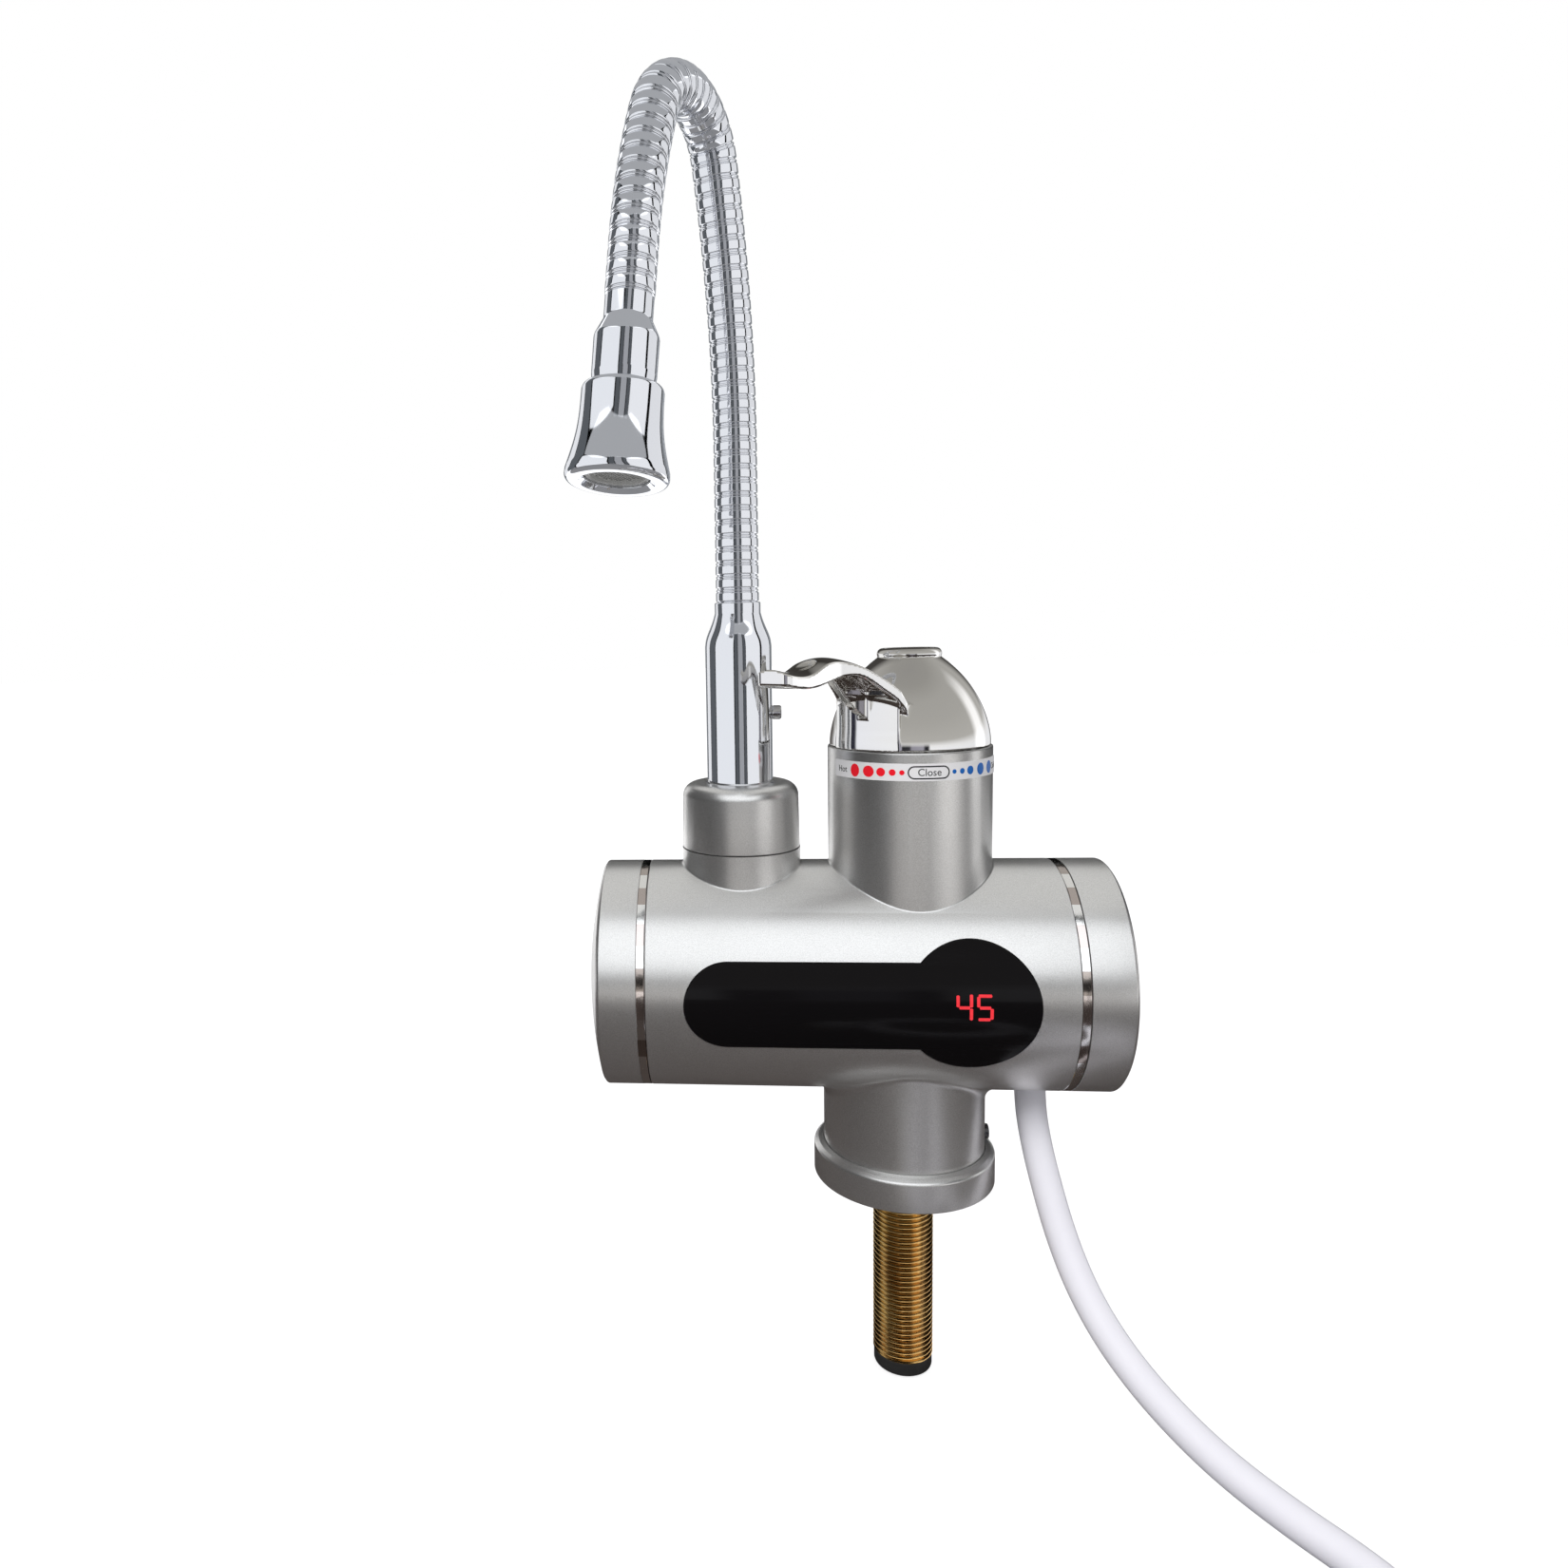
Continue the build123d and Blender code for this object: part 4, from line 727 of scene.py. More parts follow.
def barrel_housing():
    """Barrel, turret, spout boss and pedestal neck, sprayed as one moulding."""
    axis, at_turret = lying_at(0.0, axis_height), upright_at(turret_x)
    body = turned("barrel_housing", [(0, shell_left), (barrel_radius, shell_left, 0.25),
                                     (barrel_radius, shell_right, 0.25), (0, shell_right)], axis, 288)
    rim = [(0, 140), (turret_radius, 140), (turret_radius, turret_top, 0.5), (0, turret_top)]
    for branch in (flared_branch("neck", 0.0, 27.66, -1, 6.0, 4.5),
                   flared_branch("turret", turret_x, turret_radius, 1, turret_top - 0.5, 0.9, 0.9, 6),
                   turned("turret_rim", rim, at_turret, 192),
                   flared_branch("boss", riser_x, 20.5, 1, 118.4, 0.9, 0.9, 6)):
        carved(body, branch, "UNION")
    for name, radius, bottom, top, matrix, segments in (
            ("bore", barrel_radius - barrel_wall, shell_left - 1, shell_right + 1, axis, 288),
            ("neck_bore", 25.06, 5.0, axis_height, upright_at(0.0), 192),
            ("turret_bore", 24.8, axis_height, turret_top + 1, at_turret, 192),
            ("boss_bore", 17.9, axis_height, 119.4, upright_at(riser_x), 160),
            ("cord_hole", 6.05, 20.0, axis_height, upright_at(cord_x), 64),
            ("screw_hole", 2.15, 20.0, 32.0, lying_at(0.0, neck_screw_height), 48)):
        carved(body, rod(name, radius, bottom, top, matrix, segments))
    window = [(x, z + axis_height) for x, z in window_outline(-0.18)]
    carved(body, prism("window", window, -20.0, -45.0))
    return fitted(finished(body, 30.0), "housing", "silver", "silver_case", "barrel_shell")


def end_cap(name, rim, ring, outward, node):
    """Cap with a domed face, a softly rounded rim and its spigot."""
    dome, edge, half = 5.5, 0.9, barrel_radius
    ball = (half ** 2 + dome ** 2) / (2 * dome)
    slip, spigot_wall = 0.15, 2.4
    spigot = half - barrel_wall - slip
    outline = [(0.0, rim + outward * dome)]
    for radius in ((half - 1.0) * k / 16 for k in range(1, 17)):
        outline.append((radius, rim + outward * (dome - ball + math.sqrt(ball ** 2 - radius ** 2))))
    outline += [(half - edge + edge * math.sin(a), rim - outward * edge + outward * edge * math.cos(a))
                for a in map(math.radians, range(20, 91, 10))]
    end, floor, inner = ring - outward * 7.0, rim - outward * 2.5, spigot - spigot_wall
    outline += rounded([(half, rim), (half, ring, 0.15), (spigot, ring), (spigot, end, 0.5),
                        (inner, end, 0.5), (inner, floor, 1.0), (0, floor), (0, rim)])[1:-1]
    cap = lathed(name, outline, lying_at(0.0, axis_height), 224, 30.0)
    if outward > 0:
        cap = finished(carved(cap, rod("gland_notch", 8.1, 20.0, 53.0, upright_at(cord_x), 64)), 30.0)
    return fitted(cap, "housing", "silver", "silver_case", node)


def foil_ring(name, left, node):
    """Foil strip round the joint, a hair below the paint, with an open seam at its right."""
    inner, top, gap, seam = 36.85, barrel_radius - 0.04, 0.05, 0.22
    low, high = left + gap, left + foil_width - gap - seam
    ring = turned(name, [(inner, low), (top - 0.1, low), (top, low + 0.12, 0.05), (top, high - 0.12, 0.05),
                         (top - 0.1, high), (inner, high)], lying_at(0.0, axis_height), 224)
    return fitted(ring, "housing", "foil", "trim", node)


def base_foot():
    """Round foot: a low rounded ring, grooved where the neck stands in it."""
    outline = [(10.15, 0.0), (23.0, 0.0), (23.0, 2.2), (27.0, 2.2), (27.0, 0.0), (31.16, 0.0, 0.4),
               (31.16, 10.2, 1.4), (29.6, 11.4, 1.2), (27.9, 12.0, 0.15), (27.81, 6.0), (24.91, 6.0),
               (24.91, 12.0), (10.15, 12.0)]
    foot = turned("base_foot", outline, upright_at(0.0), 192)
    return fitted(foot, "housing", "silver", "silver_case", "base_flange")


# What Geometry Nodes make: the hose's ribs and the thread

class Tree(Graph):
    """A Geometry Nodes tree with named sizes, ending in Realize Instances and Set Material."""

    def __init__(self, name, sizes):
        super().__init__(bpy.data.node_groups.new(name, "GeometryNodeTree"))
        face = self.tree.interface
        for way in ("INPUT", "OUTPUT"):
            face.new_socket("Geometry", in_out=way, socket_type="NodeSocketGeometry")
        self.values = {}
        for label, value in sizes.items():
            kind = "NodeSocketInt" if isinstance(value, int) else "NodeSocketFloat"
            self.values[face.new_socket(label, in_out="INPUT", socket_type=kind).identifier] = value
        self.start = self.tree.nodes.new("NodeGroupInput")
        self.end = self.tree.nodes.new("NodeGroupOutput")

    def size(self, label):
        return Amount(self, self.start.outputs[label])

    def shaped(self, share, stops):
        """A straight-line graph of a share from 0 to 1, through (place, value) stops."""
        curve = self.node("ShaderNodeFloatCurve")
        mapping = curve.socket.node.mapping
        line = mapping.curves[0]
        while len(line.points) < len(stops):
            line.points.new(0.5, 0.5)
        for point, stop in zip(line.points, stops):
            point.location = stop
            point.handle_type = "VECTOR"
        mapping.update()
        self.put(curve.socket.node.inputs[1], share)
        return curve

    def finish(self, geometry, material):
        real = self.node("GeometryNodeRealizeInstances", {0: geometry})
        self.put(self.end.inputs[0], self.node("GeometryNodeSetMaterial", {0: real, "Material": material}))

    def grown_on(self, base):
        """The base piece's mesh after the tree."""
        grow = base.modifiers.new("grow", "NODES")
        grow.node_group = self.tree
        for key, value in self.values.items():
            grow[key] = value
        mesh = evaluated(base)
        name = base.name
        bpy.data.objects.remove(base)
        mesh.name = name
        return linked(name, mesh)


hose_turn = 26.0
hose_start, hose_rise, hose_run = 203.2, 50.6, 15.6
hose_sweeps = ((331.9, 15.5), (20.5, 154.8), (170.2, 169.4))


def hose_line(step=0.8):
    """Points along the gooseneck's middle: straight rise, wide sweep, tight arch, wide fall, straight end."""
    turn = math.radians(hose_turn)
    out = Vector((-math.sin(turn), -math.cos(turn), 0.0))
    places = [(0.0, hose_start, 0.0)]
    reach, height, heading = 0.0, hose_start, 0.0
    stretches = [(None, hose_rise)] + list(hose_sweeps) + [(None, hose_run)]
    for radius, amount in stretches:
        if radius is None:
            steps = max(2, math.ceil(amount / step))
            for _ in range(steps):
                reach += math.sin(heading) * amount / steps
                height += math.cos(heading) * amount / steps
                places.append((reach, height, heading))
            continue
        sweep = math.radians(amount) - heading
        steps = max(2, math.ceil(radius * sweep / step))
        for _ in range(steps):
            new = heading + sweep / steps
            reach += radius * (math.cos(heading) - math.cos(new))
            height += radius * (math.sin(new) - math.sin(heading))
            heading = new
            places.append((reach, height, heading))
    points = [Vector((riser_x, 0.0, h)) + out * r for r, h, _ in places]
    last = places[-1][2]
    return points, (out * math.sin(last) + Vector((0, 0, math.cos(last)))).normalized()


def outlet_frame():
    points, heading = hose_line()
    turn = math.radians(hose_turn)
    return standing(points[-1], heading, (math.cos(turn), -math.sin(turn), 0.0))


def gooseneck():
    """Interlocked metal hose: broad flat ribs, each with a narrow lip and two fine grooves."""
    base, _ = drawn_line("gooseneck_ribs", "POLY", [point * MM for point in hose_line()[0]])
    places = [(0.0, 0.0), (0.04, 0.0), (0.075, 0.72), (0.11, 0.95), (0.16, 1.0), (0.64, 1.0), (0.69, 0.95),
              (0.725, 0.72), (0.755, 0.30), (0.785, 0.30), (0.81, 0.62), (0.84, 0.78), (0.90, 0.78),
              (0.93, 0.60), (0.97, 0.0), (1.0, 0.0)]
    per_rib = float(len(places) - 1)
    tree = Tree("rib_hose", {"Ribs": 55, "Radius": 7.3 * MM, "Groove": 0.55 * MM, "Round": 72})
    index = tree.node("GeometryNodeInputIndex")
    rib = tree.maths("FLOOR", (index + 0.01) / per_rib)
    share = tree.maths("MODULO", index, per_rib) / per_rib
    along, depth = (tree.shaped(share, [(k / per_rib, place[which]) for k, place in enumerate(places)])
                    for which in (0, 1))
    factor = (rib + along) / tree.size("Ribs")
    sample = tree.node("GeometryNodeSampleCurve", {"Curves": tree.size("Geometry"), "Factor": factor}, 1,
                       mode="FACTOR", use_all_curves=True)
    row = tree.node("GeometryNodeMeshLine", {"Count": tree.size("Ribs") * per_rib + 1.0})
    row = tree.node("GeometryNodeSetPosition", {"Geometry": row, "Position": sample})
    row = tree.node("GeometryNodeMeshToCurve", {0: row})
    radius = tree.size("Radius") - tree.size("Groove") * (1.0 - depth)
    ring = tree.node("GeometryNodeCurvePrimitiveCircle", {"Resolution": tree.size("Round"), "Radius": 1.0})
    tube = tree.node("GeometryNodeCurveToMesh", {"Curve": row, "Profile Curve": ring, "Scale": radius,
                                                 "Fill Caps": True})
    tree.finish(tube, FINISHES["spout_chrome"])
    return fitted(finished(tree.grown_on(base), 42.0), "spout", "spout_chrome", "chrome", "gooseneck_hose")


def threaded_shank():
    """Half-inch brass tail: plain under the flange, then a fine thread down to the seal."""
    stem, top, pitch, rows = 10.0, 30.0, 1.814, 9
    plain, end = -5.6, tail_end + 0.6
    outline = [(tail_bore, top), (stem, top), (stem, 0.0), (tail_radius, 0.0), (tail_radius, plain)]
    count = round((plain - end) / pitch * rows)
    outline += [(tail_radius, plain + (end - plain) * k / count) for k in range(1, count + 1)]
    outline += [(tail_radius - 0.5, tail_end), (tail_bore, tail_end)]
    blank = lathed("threaded_shank_brass", outline, upright_at(0.0), 96)
    tree = Tree("screw_thread", {"Pitch": pitch * MM, "Depth": 1.0 * MM, "Start": plain * MM, "End": end * MM,
                                 "Crest": tail_radius * MM})
    x, y, z = tree.split(tree.node("GeometryNodeInputPosition"))
    out = tree.maths("SQRT", x * x + y * y)
    turn = tree.maths("ARCTAN2", y, x) / (2 * math.pi)
    phase = tree.maths("FRACT", z / tree.size("Pitch") - turn + 100.0)
    form = tree.shaped(phase, [(0.0, 0.0), (0.1, 0.06), (0.44, 0.94), (0.5, 1.0), (0.56, 0.94), (0.9, 0.06),
                               (1.0, 0.0)])
    fade_in = tree.node("ShaderNodeClamp", {0: (tree.size("Start") - z) / (3.0 * MM)})
    fade_out = tree.node("ShaderNodeClamp", {0: (z - tree.size("End")) / (0.8 * MM)})
    on_crest = out > tree.size("Crest") - 0.05 * MM
    cut = form * tree.size("Depth") * (fade_in * fade_out * on_crest)
    scale = 1.0 - cut / out
    place = tree.node("ShaderNodeCombineXYZ", {0: x * scale, 1: y * scale, 2: z})
    tree.finish(tree.node("GeometryNodeSetPosition", {"Geometry": tree.size("Geometry"), "Position": place}),
                FINISHES["brass"])
    return fitted(finished(tree.grown_on(blank), 50.0), "housing", "brass", "brass", "inlet_shank")


# Spout, outlet and small fittings

def spout_pieces():
    at_riser = upright_at(riser_x)
    nut = [(15.65, 118.7), (20.35, 118.7, 0.35), (19.9, 141.2, 4.6), (12.05, 141.2, 0.25),
           (11.41, 140.6, 0.2), (11.41, 129.0), (13.8, 129.0), (13.8, 126.0), (15.65, 126.0)]
    fitted(turned("spout_collar_nut", nut, at_riser, 176, 6.0), "housing", "silver", "silver_case",
           "spout_collar")
    drawn = spline([188.0, 190.5, 194.8, 197.6, 199.5], [11.35, 11.0, 9.4, 8.35, 7.8])
    outline = rounded([(5.4, 109.0), (9.0, 109.0, 0.3), (9.0, 126.1), (13.5, 126.1, 0.3), (13.5, 129.0, 0.3),
                       (11.35, 129.0), (11.35, 188.0)])
    outline += [(float(drawn(height)), float(height)) for height in np.linspace(188.6, 199.3, 26)]
    outline += rounded([(7.8, 199.5), (7.8, 203.2, 0.5), (5.4, 203.2)])
    fitted(lathed("riser_tube", outline, at_riser, 176, 30.0), "spout", "spout_chrome", "chrome",
           "spout_tube")
    stud = [(0, 10.8), (1.5, 10.8), (1.5, 11.2), (2.3, 11.2), (2.45, 11.9, 0.2), (2.45, 13.9, 0.25),
            (2.1, 14.5, 0.3), (0, 14.5)]
    socket_screw("riser_screw", stud, (1.25, 13.1, 15.0), lying_at(riser_x, riser_screw_height),
                 "spout", "steel", "spout_stud")


def socket_screw(name, outline, socket, place, body, finish, node):
    """A turned screw with a six-sided socket, given as its (radius, bottom, top)."""
    radius, *ends = socket
    points = [(radius * math.cos(math.radians(60 * k)), radius * math.sin(math.radians(60 * k)), height)
              for height in ends for k in range(6)]
    recess = made("recess", set_at(points, place), capped_strips(2, 6))
    screw = carved(turned(name, outline, place, 56), recess)
    fitted(finished(screw), body, finish, "dark_screw", node)


def neck_screw():
    outline = [(0, 15.4), (1.6, 15.4, 0.3), (2.0, 16.2), (2.0, 27.76), (2.6, 27.76), (2.6, 29.36, 0.35),
               (0, 29.36)]
    socket_screw("neck_clamp_screw", outline, (1.2, 28.3, 30.0), lying_at(0.0, neck_screw_height),
                 "housing", "dark_metal", "neck_screw")


def outlet_pieces():
    place = outlet_frame()
    ferrule = rounded([(4.6, 0.0), (7.1, 0.0, 0.35), (7.1, 6.7, 2.4), (9.5, 11.6, 3.4), (9.42, 22.8, 1.2),
                       (9.0, 25.6, 0.5), (6.4, 25.6), (6.4, 17.6), (4.6, 17.6)], 6.0)
    fitted(lathed("outlet_swivel_socket", ferrule, place, 144), "spout", "spout_chrome", "chrome",
           "outlet_ferrule")
    flare = spline([27.3, 33.0, 39.1, 44.6, 50.2], [11.9, 12.0, 12.5, 13.55, 15.0])
    outline = rounded([(6.34, 26.1), (11.5, 26.1, 0.9), (11.9, 27.3)])
    outline += [(float(flare(along)), float(along)) for along in np.linspace(27.6, 50.2, 30)]
    outline += rounded([(15.0, 50.2), (15.25, 53.6, 1.9), (11.0, 53.6, 0.5), (9.5, 52.2, 0.3), (9.5, 41.6),
                        (4.0, 41.6), (4.0, 18.6), (6.34, 18.6), (6.34, 26.1)], 8.0)[1:-1]
    fitted(lathed("outlet_bell_chrome", outline, place, 176), "outlet", "spout_chrome", "chrome",
           "outlet_bell")
    aerator(place)


def aerator(place):
    """Outlet insert: a rim and a shallow domed grid of square holes."""
    top, low, radius = 42.8, 51.6, 9.4
    half, spacing, reach, steps = 0.475, 1.15, 6.9, range(-6, 7)
    outline = [(0, low - 1.6), (7.6, low - 1.6), (7.6, top), (radius, top), (radius, low, 0.3),
               (7.9, low, 0.3), (7.6, low - 0.9), (0, low - 0.55)]
    plate = turned("aerator_grid", outline, place, 96)
    points, faces = [], []
    for u, v in ((i * spacing, j * spacing) for i in steps for j in steps):
        if math.hypot(u, v) < reach:
            faces += [[len(points) + k for k in side] for side in capped_strips(2, 4)]
            points += [(u + a * half, v + b * half, height) for height in (low - 2.4, low + 1.0)
                       for a, b in ((-1, -1), (1, -1), (1, 1), (-1, 1))]
    plate = carved(plate, made("grid_holes", set_at(points, place), faces))
    fitted(finished(plate), "outlet", "aerator", "aerator", "aerator_insert")


# Handle: dome, hood and lever as one casting

lever_turn, lever_length, dome_top = 41.0, 73.5, 184.3
handle_bottom = turret_top + 0.35
lever_rows = ((15.0, 12.9, 159.0, 164.4), (17.0, 12.9, 161.0, 166.0), (23.5, 12.6, 168.6, 172.8),
              (30.0, 10.7, 173.4, 177.4), (38.0, 8.3, 178.2, 181.5), (44.5, 6.5, 178.9, 183.2),
              (50.0, 6.2, 178.0, 183.6), (54.5, 6.2, 177.0, 182.8), (60.0, 6.2, 176.1, 180.6),
              (73.5, 6.1, 177.4, 181.1))
dome_rows = ((26.74, 153.65), (26.6, 155.5), (25.8, 160.7), (23.6, 167.1), (19.9, 173.5), (17.4, 176.8),
             (14.3, 180.0), (10.6, 183.0))


def soft_max(a, b, blend):
    share = np.clip(0.5 + 0.5 * (a - b) / blend, 0, 1)
    return b + (a - b) * share + blend * share * (1 - share)


def soft_min(a, b, blend):
    return -soft_max(-a, -b, blend)


half_width = spline([r[0] for r in lever_rows], [r[1] for r in lever_rows])
underside = spline([r[0] for r in lever_rows], [r[2] for r in lever_rows])
upper_edge = spline([r[0] for r in lever_rows], [r[3] for r in lever_rows])
dome_fit = np.polyfit([r[1] - 165.0 for r in dome_rows], [r[0] for r in dome_rows], 4)


def dome_depth(out, height):
    """The dome with its skirt and the bead round its button."""
    lift = np.clip(height, 150.0, 184.0) - 165.0
    slope = np.polyval(np.polyder(dome_fit), lift)
    dome = (out - np.polyval(dome_fit, lift)) / np.sqrt(1 + slope ** 2)
    dome = np.maximum(dome, height - dome_top)
    dome = soft_max(dome, handle_bottom - height, 0.5)
    skirt = np.maximum(np.maximum(out - 24.4, handle_bottom - 4.2 - height), height - 156.0)
    bead = np.hypot(out - 8.85, (height - dome_top) * 0.97) - 1.85
    return soft_min(np.minimum(dome, skirt), bead, 0.5)


def blade_depth(along, side, height):
    """The lever's blade, crowned on top, with the thumb's dish near its end."""
    half, low, edge = half_width(along), underside(along), upper_edge(along)
    tilt = np.sqrt(1 + ((upper_edge(along + 0.2) - upper_edge(along - 0.2)) / 0.4) ** 2)
    top = edge + 1.3 * (1 - np.clip(side / np.maximum(half, 1.0), -1.2, 1.2) ** 2)
    corner = 2.6
    q_along, q_side = along - lever_length + corner, np.abs(side) - half + corner
    plan = np.hypot(np.maximum(q_along, 0), np.maximum(q_side, 0))
    plan = plan + np.minimum(np.maximum(q_along, q_side), 0) - corner
    blade = soft_max((height - top) / tilt, plan, 0.45)
    blade = soft_max(blade, (low - height) / tilt, 0.9)
    dish = np.sqrt(((along - 61.8) / 8.6) ** 2 + (side / 4.4) ** 2 + ((height - 183.9) / 2.6) ** 2)
    blade = soft_max(blade, (1.0 - dish) * 3.2, 0.3)
    return np.maximum(blade, 14.0 - along)


def hood_depth(along, side, height, out):
    """The hood between the dome and the lever."""
    angle = np.degrees(np.arctan2(side, along))
    sides = np.maximum(-(angle + 26.5), angle - 30.0) * np.pi / 180 * np.maximum(out, 1.0)
    hood = soft_max(out - 26.7, sides, 0.7)
    hood = np.maximum(hood, height - (upper_edge(along) - 0.6))
    hood = np.maximum(hood, handle_bottom - height)
    return np.maximum(hood, 5.0 - along)


def pocketed(blade, along, side, height):
    """The blade with the pocket under its arm and the rib along the pocket's middle."""
    pocket = np.maximum(np.maximum(27.0 - along, along - 49.0), height - pocket_roof(along))
    pocket = soft_max(pocket, np.abs(side) - pocket_half(along), 0.8)
    rib = np.maximum(np.abs(side) - 1.3, (rib_line(along) - height) * 0.75)
    pocket = soft_max(pocket, -rib, 0.6)
    blade = soft_max(blade, -pocket, 0.6)
    ends = np.maximum(along - 49.5, 20.0 - along)
    rib_body = np.maximum(np.maximum(rib, height - upper_edge(along) + 0.6), ends)
    return soft_min(blade, rib_body, 0.6)


def handle_depth(along, side, height):
    """How far a point is outside the casting: along the lever, across it and up from the deck."""
    out = np.hypot(along, side)
    blade = pocketed(blade_depth(along, side, height), along, side, height)
    whole = soft_min(dome_depth(out, height), hood_depth(along, side, height, out), 0.9)
    whole = soft_min(whole, blade, 1.2)
    hollow = np.maximum(np.maximum(out - inner_dome(height), height - 177.0), 8.0 - out)
    spindle_hole = np.maximum(out - 5.05, height - 163.5)
    screw_head = np.maximum(out - 4.4, 179.0 - height)
    button_seat = np.maximum(out - 8.5, 184.0 - height)
    for hole in (hollow, spindle_hole, out - 2.2, screw_head, button_seat):
        whole = np.maximum(whole, -hole)
    return whole


pocket_roof = spline([20.0, 27.1, 32.0, 38.5, 45.0, 50.0], [169.0, 173.4, 176.2, 179.2, 180.6, 179.6])
pocket_half = spline([27.1, 38.5, 49.0], [9.3, 6.6, 5.0])
rib_line = spline([20.0, 28.3, 47.0, 50.0], [164.5, 165.2, 178.6, 180.0])
inner_dome = spline([150.0, 160.0, 170.0, 177.0], [22.0, 22.0, 17.5, 9.5])


def handle_slope(points, reach=0.03):
    rises = [handle_depth(*(points + step).T) - handle_depth(*(points - step).T)
             for step in reach * np.eye(3)]
    return np.stack(rises, 1) / (2 * reach)


def handle():
    """The casting's surface: a grid of depths, its zero surface, and each point then brought onto it."""
    cell = 0.5
    low = np.array((-28.5, -28.5, 148.0))
    high = np.array((75.5, 28.5, 188.0))
    axes = [np.arange(a, b, cell) for a, b in zip(low, high)]
    grid = np.meshgrid(*axes, indexing="ij")
    depth = handle_depth(*grid).astype(np.float32)
    volume = openvdb.FloatGrid(background=4.0)
    volume.copyFromArray(np.clip(depth, -4.0, 4.0))
    points, quads = volume.convertToQuads(isovalue=0.0)
    points = points * cell + low
    for _ in range(4):
        slope = handle_slope(points)
        steep = np.maximum((slope ** 2).sum(1), 0.25)
        points = points - np.clip(handle_depth(*points.T) / steep, -0.4, 0.4)[:, None] * slope * 0.9
    slope = handle_slope(points)
    normal = slope / np.maximum(np.linalg.norm(slope, axis=1), 1e-6)[:, None]
    turn = math.radians(lever_turn)
    out = np.array((-math.sin(turn), -math.cos(turn), 0.0))
    across = np.array((-math.cos(turn), math.sin(turn), 0.0))
    world = np.outer(points[:, 0], out) + np.outer(points[:, 1], across)
    world[:, 2] = points[:, 2]
    world[:, 0] += turret_x
    facing = np.outer(normal[:, 0], out) + np.outer(normal[:, 1], across)
    facing[:, 2] = normal[:, 2]
    mesh = bpy.data.meshes.new("handle_casting")
    mesh.from_pydata((world * MM).tolist(), [], quads.tolist())
    mesh.update()
    tested = range(0, len(quads), 97)
    if sum(np.dot(np.array(mesh.polygons[k].normal), facing[quads[k]].mean(0)) for k in tested) < 0:
        mesh.flip_normals()
    mesh.shade_smooth()
    mesh.normals_split_custom_set_from_vertices(facing.tolist())
    return fitted(linked("handle_casting", mesh), "lever", "handle_chrome", "chrome", "handle")


def handle_button():
    """Dished cap closing the dome's screw hole."""
    ball = 30.0
    dish = [(r, 186.2 + 29.0 - math.sqrt(ball ** 2 - r ** 2)) for r in np.linspace(7.4, 0.0, 14)]
    outline = rounded([(0, 184.05), (8.35, 184.05, 0.1), (8.35, 185.75, 0.35), (7.7, dish[0][1] + 0.03)])
    outline = outline[:-1] + [(float(r), float(h)) for r, h in dish]
    fitted(lathed("handle_button", outline, upright_at(turret_x), 128), "lever", "handle_chrome", "chrome",
           "handle_cap")


# Window, lit figures and the printed band

band_radius, ink_back, ink_front, marks_height = 27.65, 27.62, 27.70, 147.15


def cut_across(work, axis, low, high, step):
    """Divides a flat shape by evenly spaced planes, so that it can be bent."""
    normal = [0.0, 0.0, 0.0]
    normal[axis] = 1.0
    place = low + step
    while place < high - step / 2:
        spot = [0.0, 0.0, 0.0]
        spot[axis] = place
        bmesh.ops.bisect_plane(work, geom=work.verts[:] + work.edges[:] + work.faces[:], plane_co=spot,
                               plane_no=normal, dist=1e-5)
        place += step
    return work


def bent_piece(name, work, place):
    """A mesh whose points are moved by a function of (across, depth, up)."""
    for vertex in work.verts:
        vertex.co = Vector(place(*vertex.co)) * MM
    mesh = bpy.data.meshes.new(name)
    work.to_mesh(mesh)
    work.free()
    return finished(linked(name, mesh), 35.0)


def on_barrel_front(x, radius, z):
    return (x, -math.sqrt(radius ** 2 - z ** 2), axis_height + z)


def on_turret_front(arc, radius, z):
    angle = arc / band_radius
    return (turret_x + radius * math.sin(angle), -radius * math.cos(angle), z)


def stacked(work, levels):
    """A closed shape from its outlines, each (across, up), and the depth of each."""
    rings = [[work.verts.new((x, depth, z)) for x, z in outline] for outline, depth in levels]
    for lower, upper in zip(rings, rings[1:]):
        for i in range(len(lower)):
            j = (i + 1) % len(lower)
            work.faces.new((lower[i], lower[j], upper[j], upper[i]))
    work.faces.new(rings[0])
    work.faces.new(rings[-1])


def window_lens():
    """Gloss window, curved with the barrel, with a fine rounded edge."""
    work = bmesh.new()
    stacked(work, [(window_outline(inset), radius) for inset, radius in
                   ((0.0, 37.6), (0.0, 39.5), (0.06, 39.7), (0.18, 39.83), (0.36, 39.9))])
    cut_across(work, 2, -21.6, 21.6, 0.7)
    fitted(bent_piece("window_lens", work, on_barrel_front), "housing", "window", "lens", "display_lens")


def bar(x0, z0, x1, z1, width, slant=0.5):
    """One display segment: a level or upright bar with pointed ends."""
    h = width / 2
    tip = h * slant
    level = abs(x1 - x0) > abs(z1 - z0)
    start, end, middle = (x0, x1, z0) if level else (min(z0, z1), max(z0, z1), x0)
    line = [(start, 0), (start + tip, h), (end - tip, h), (end, 0), (end - tip, -h), (start + tip, -h)]
    return [(along, middle + across) if level else (middle + across, along) for along, across in line]


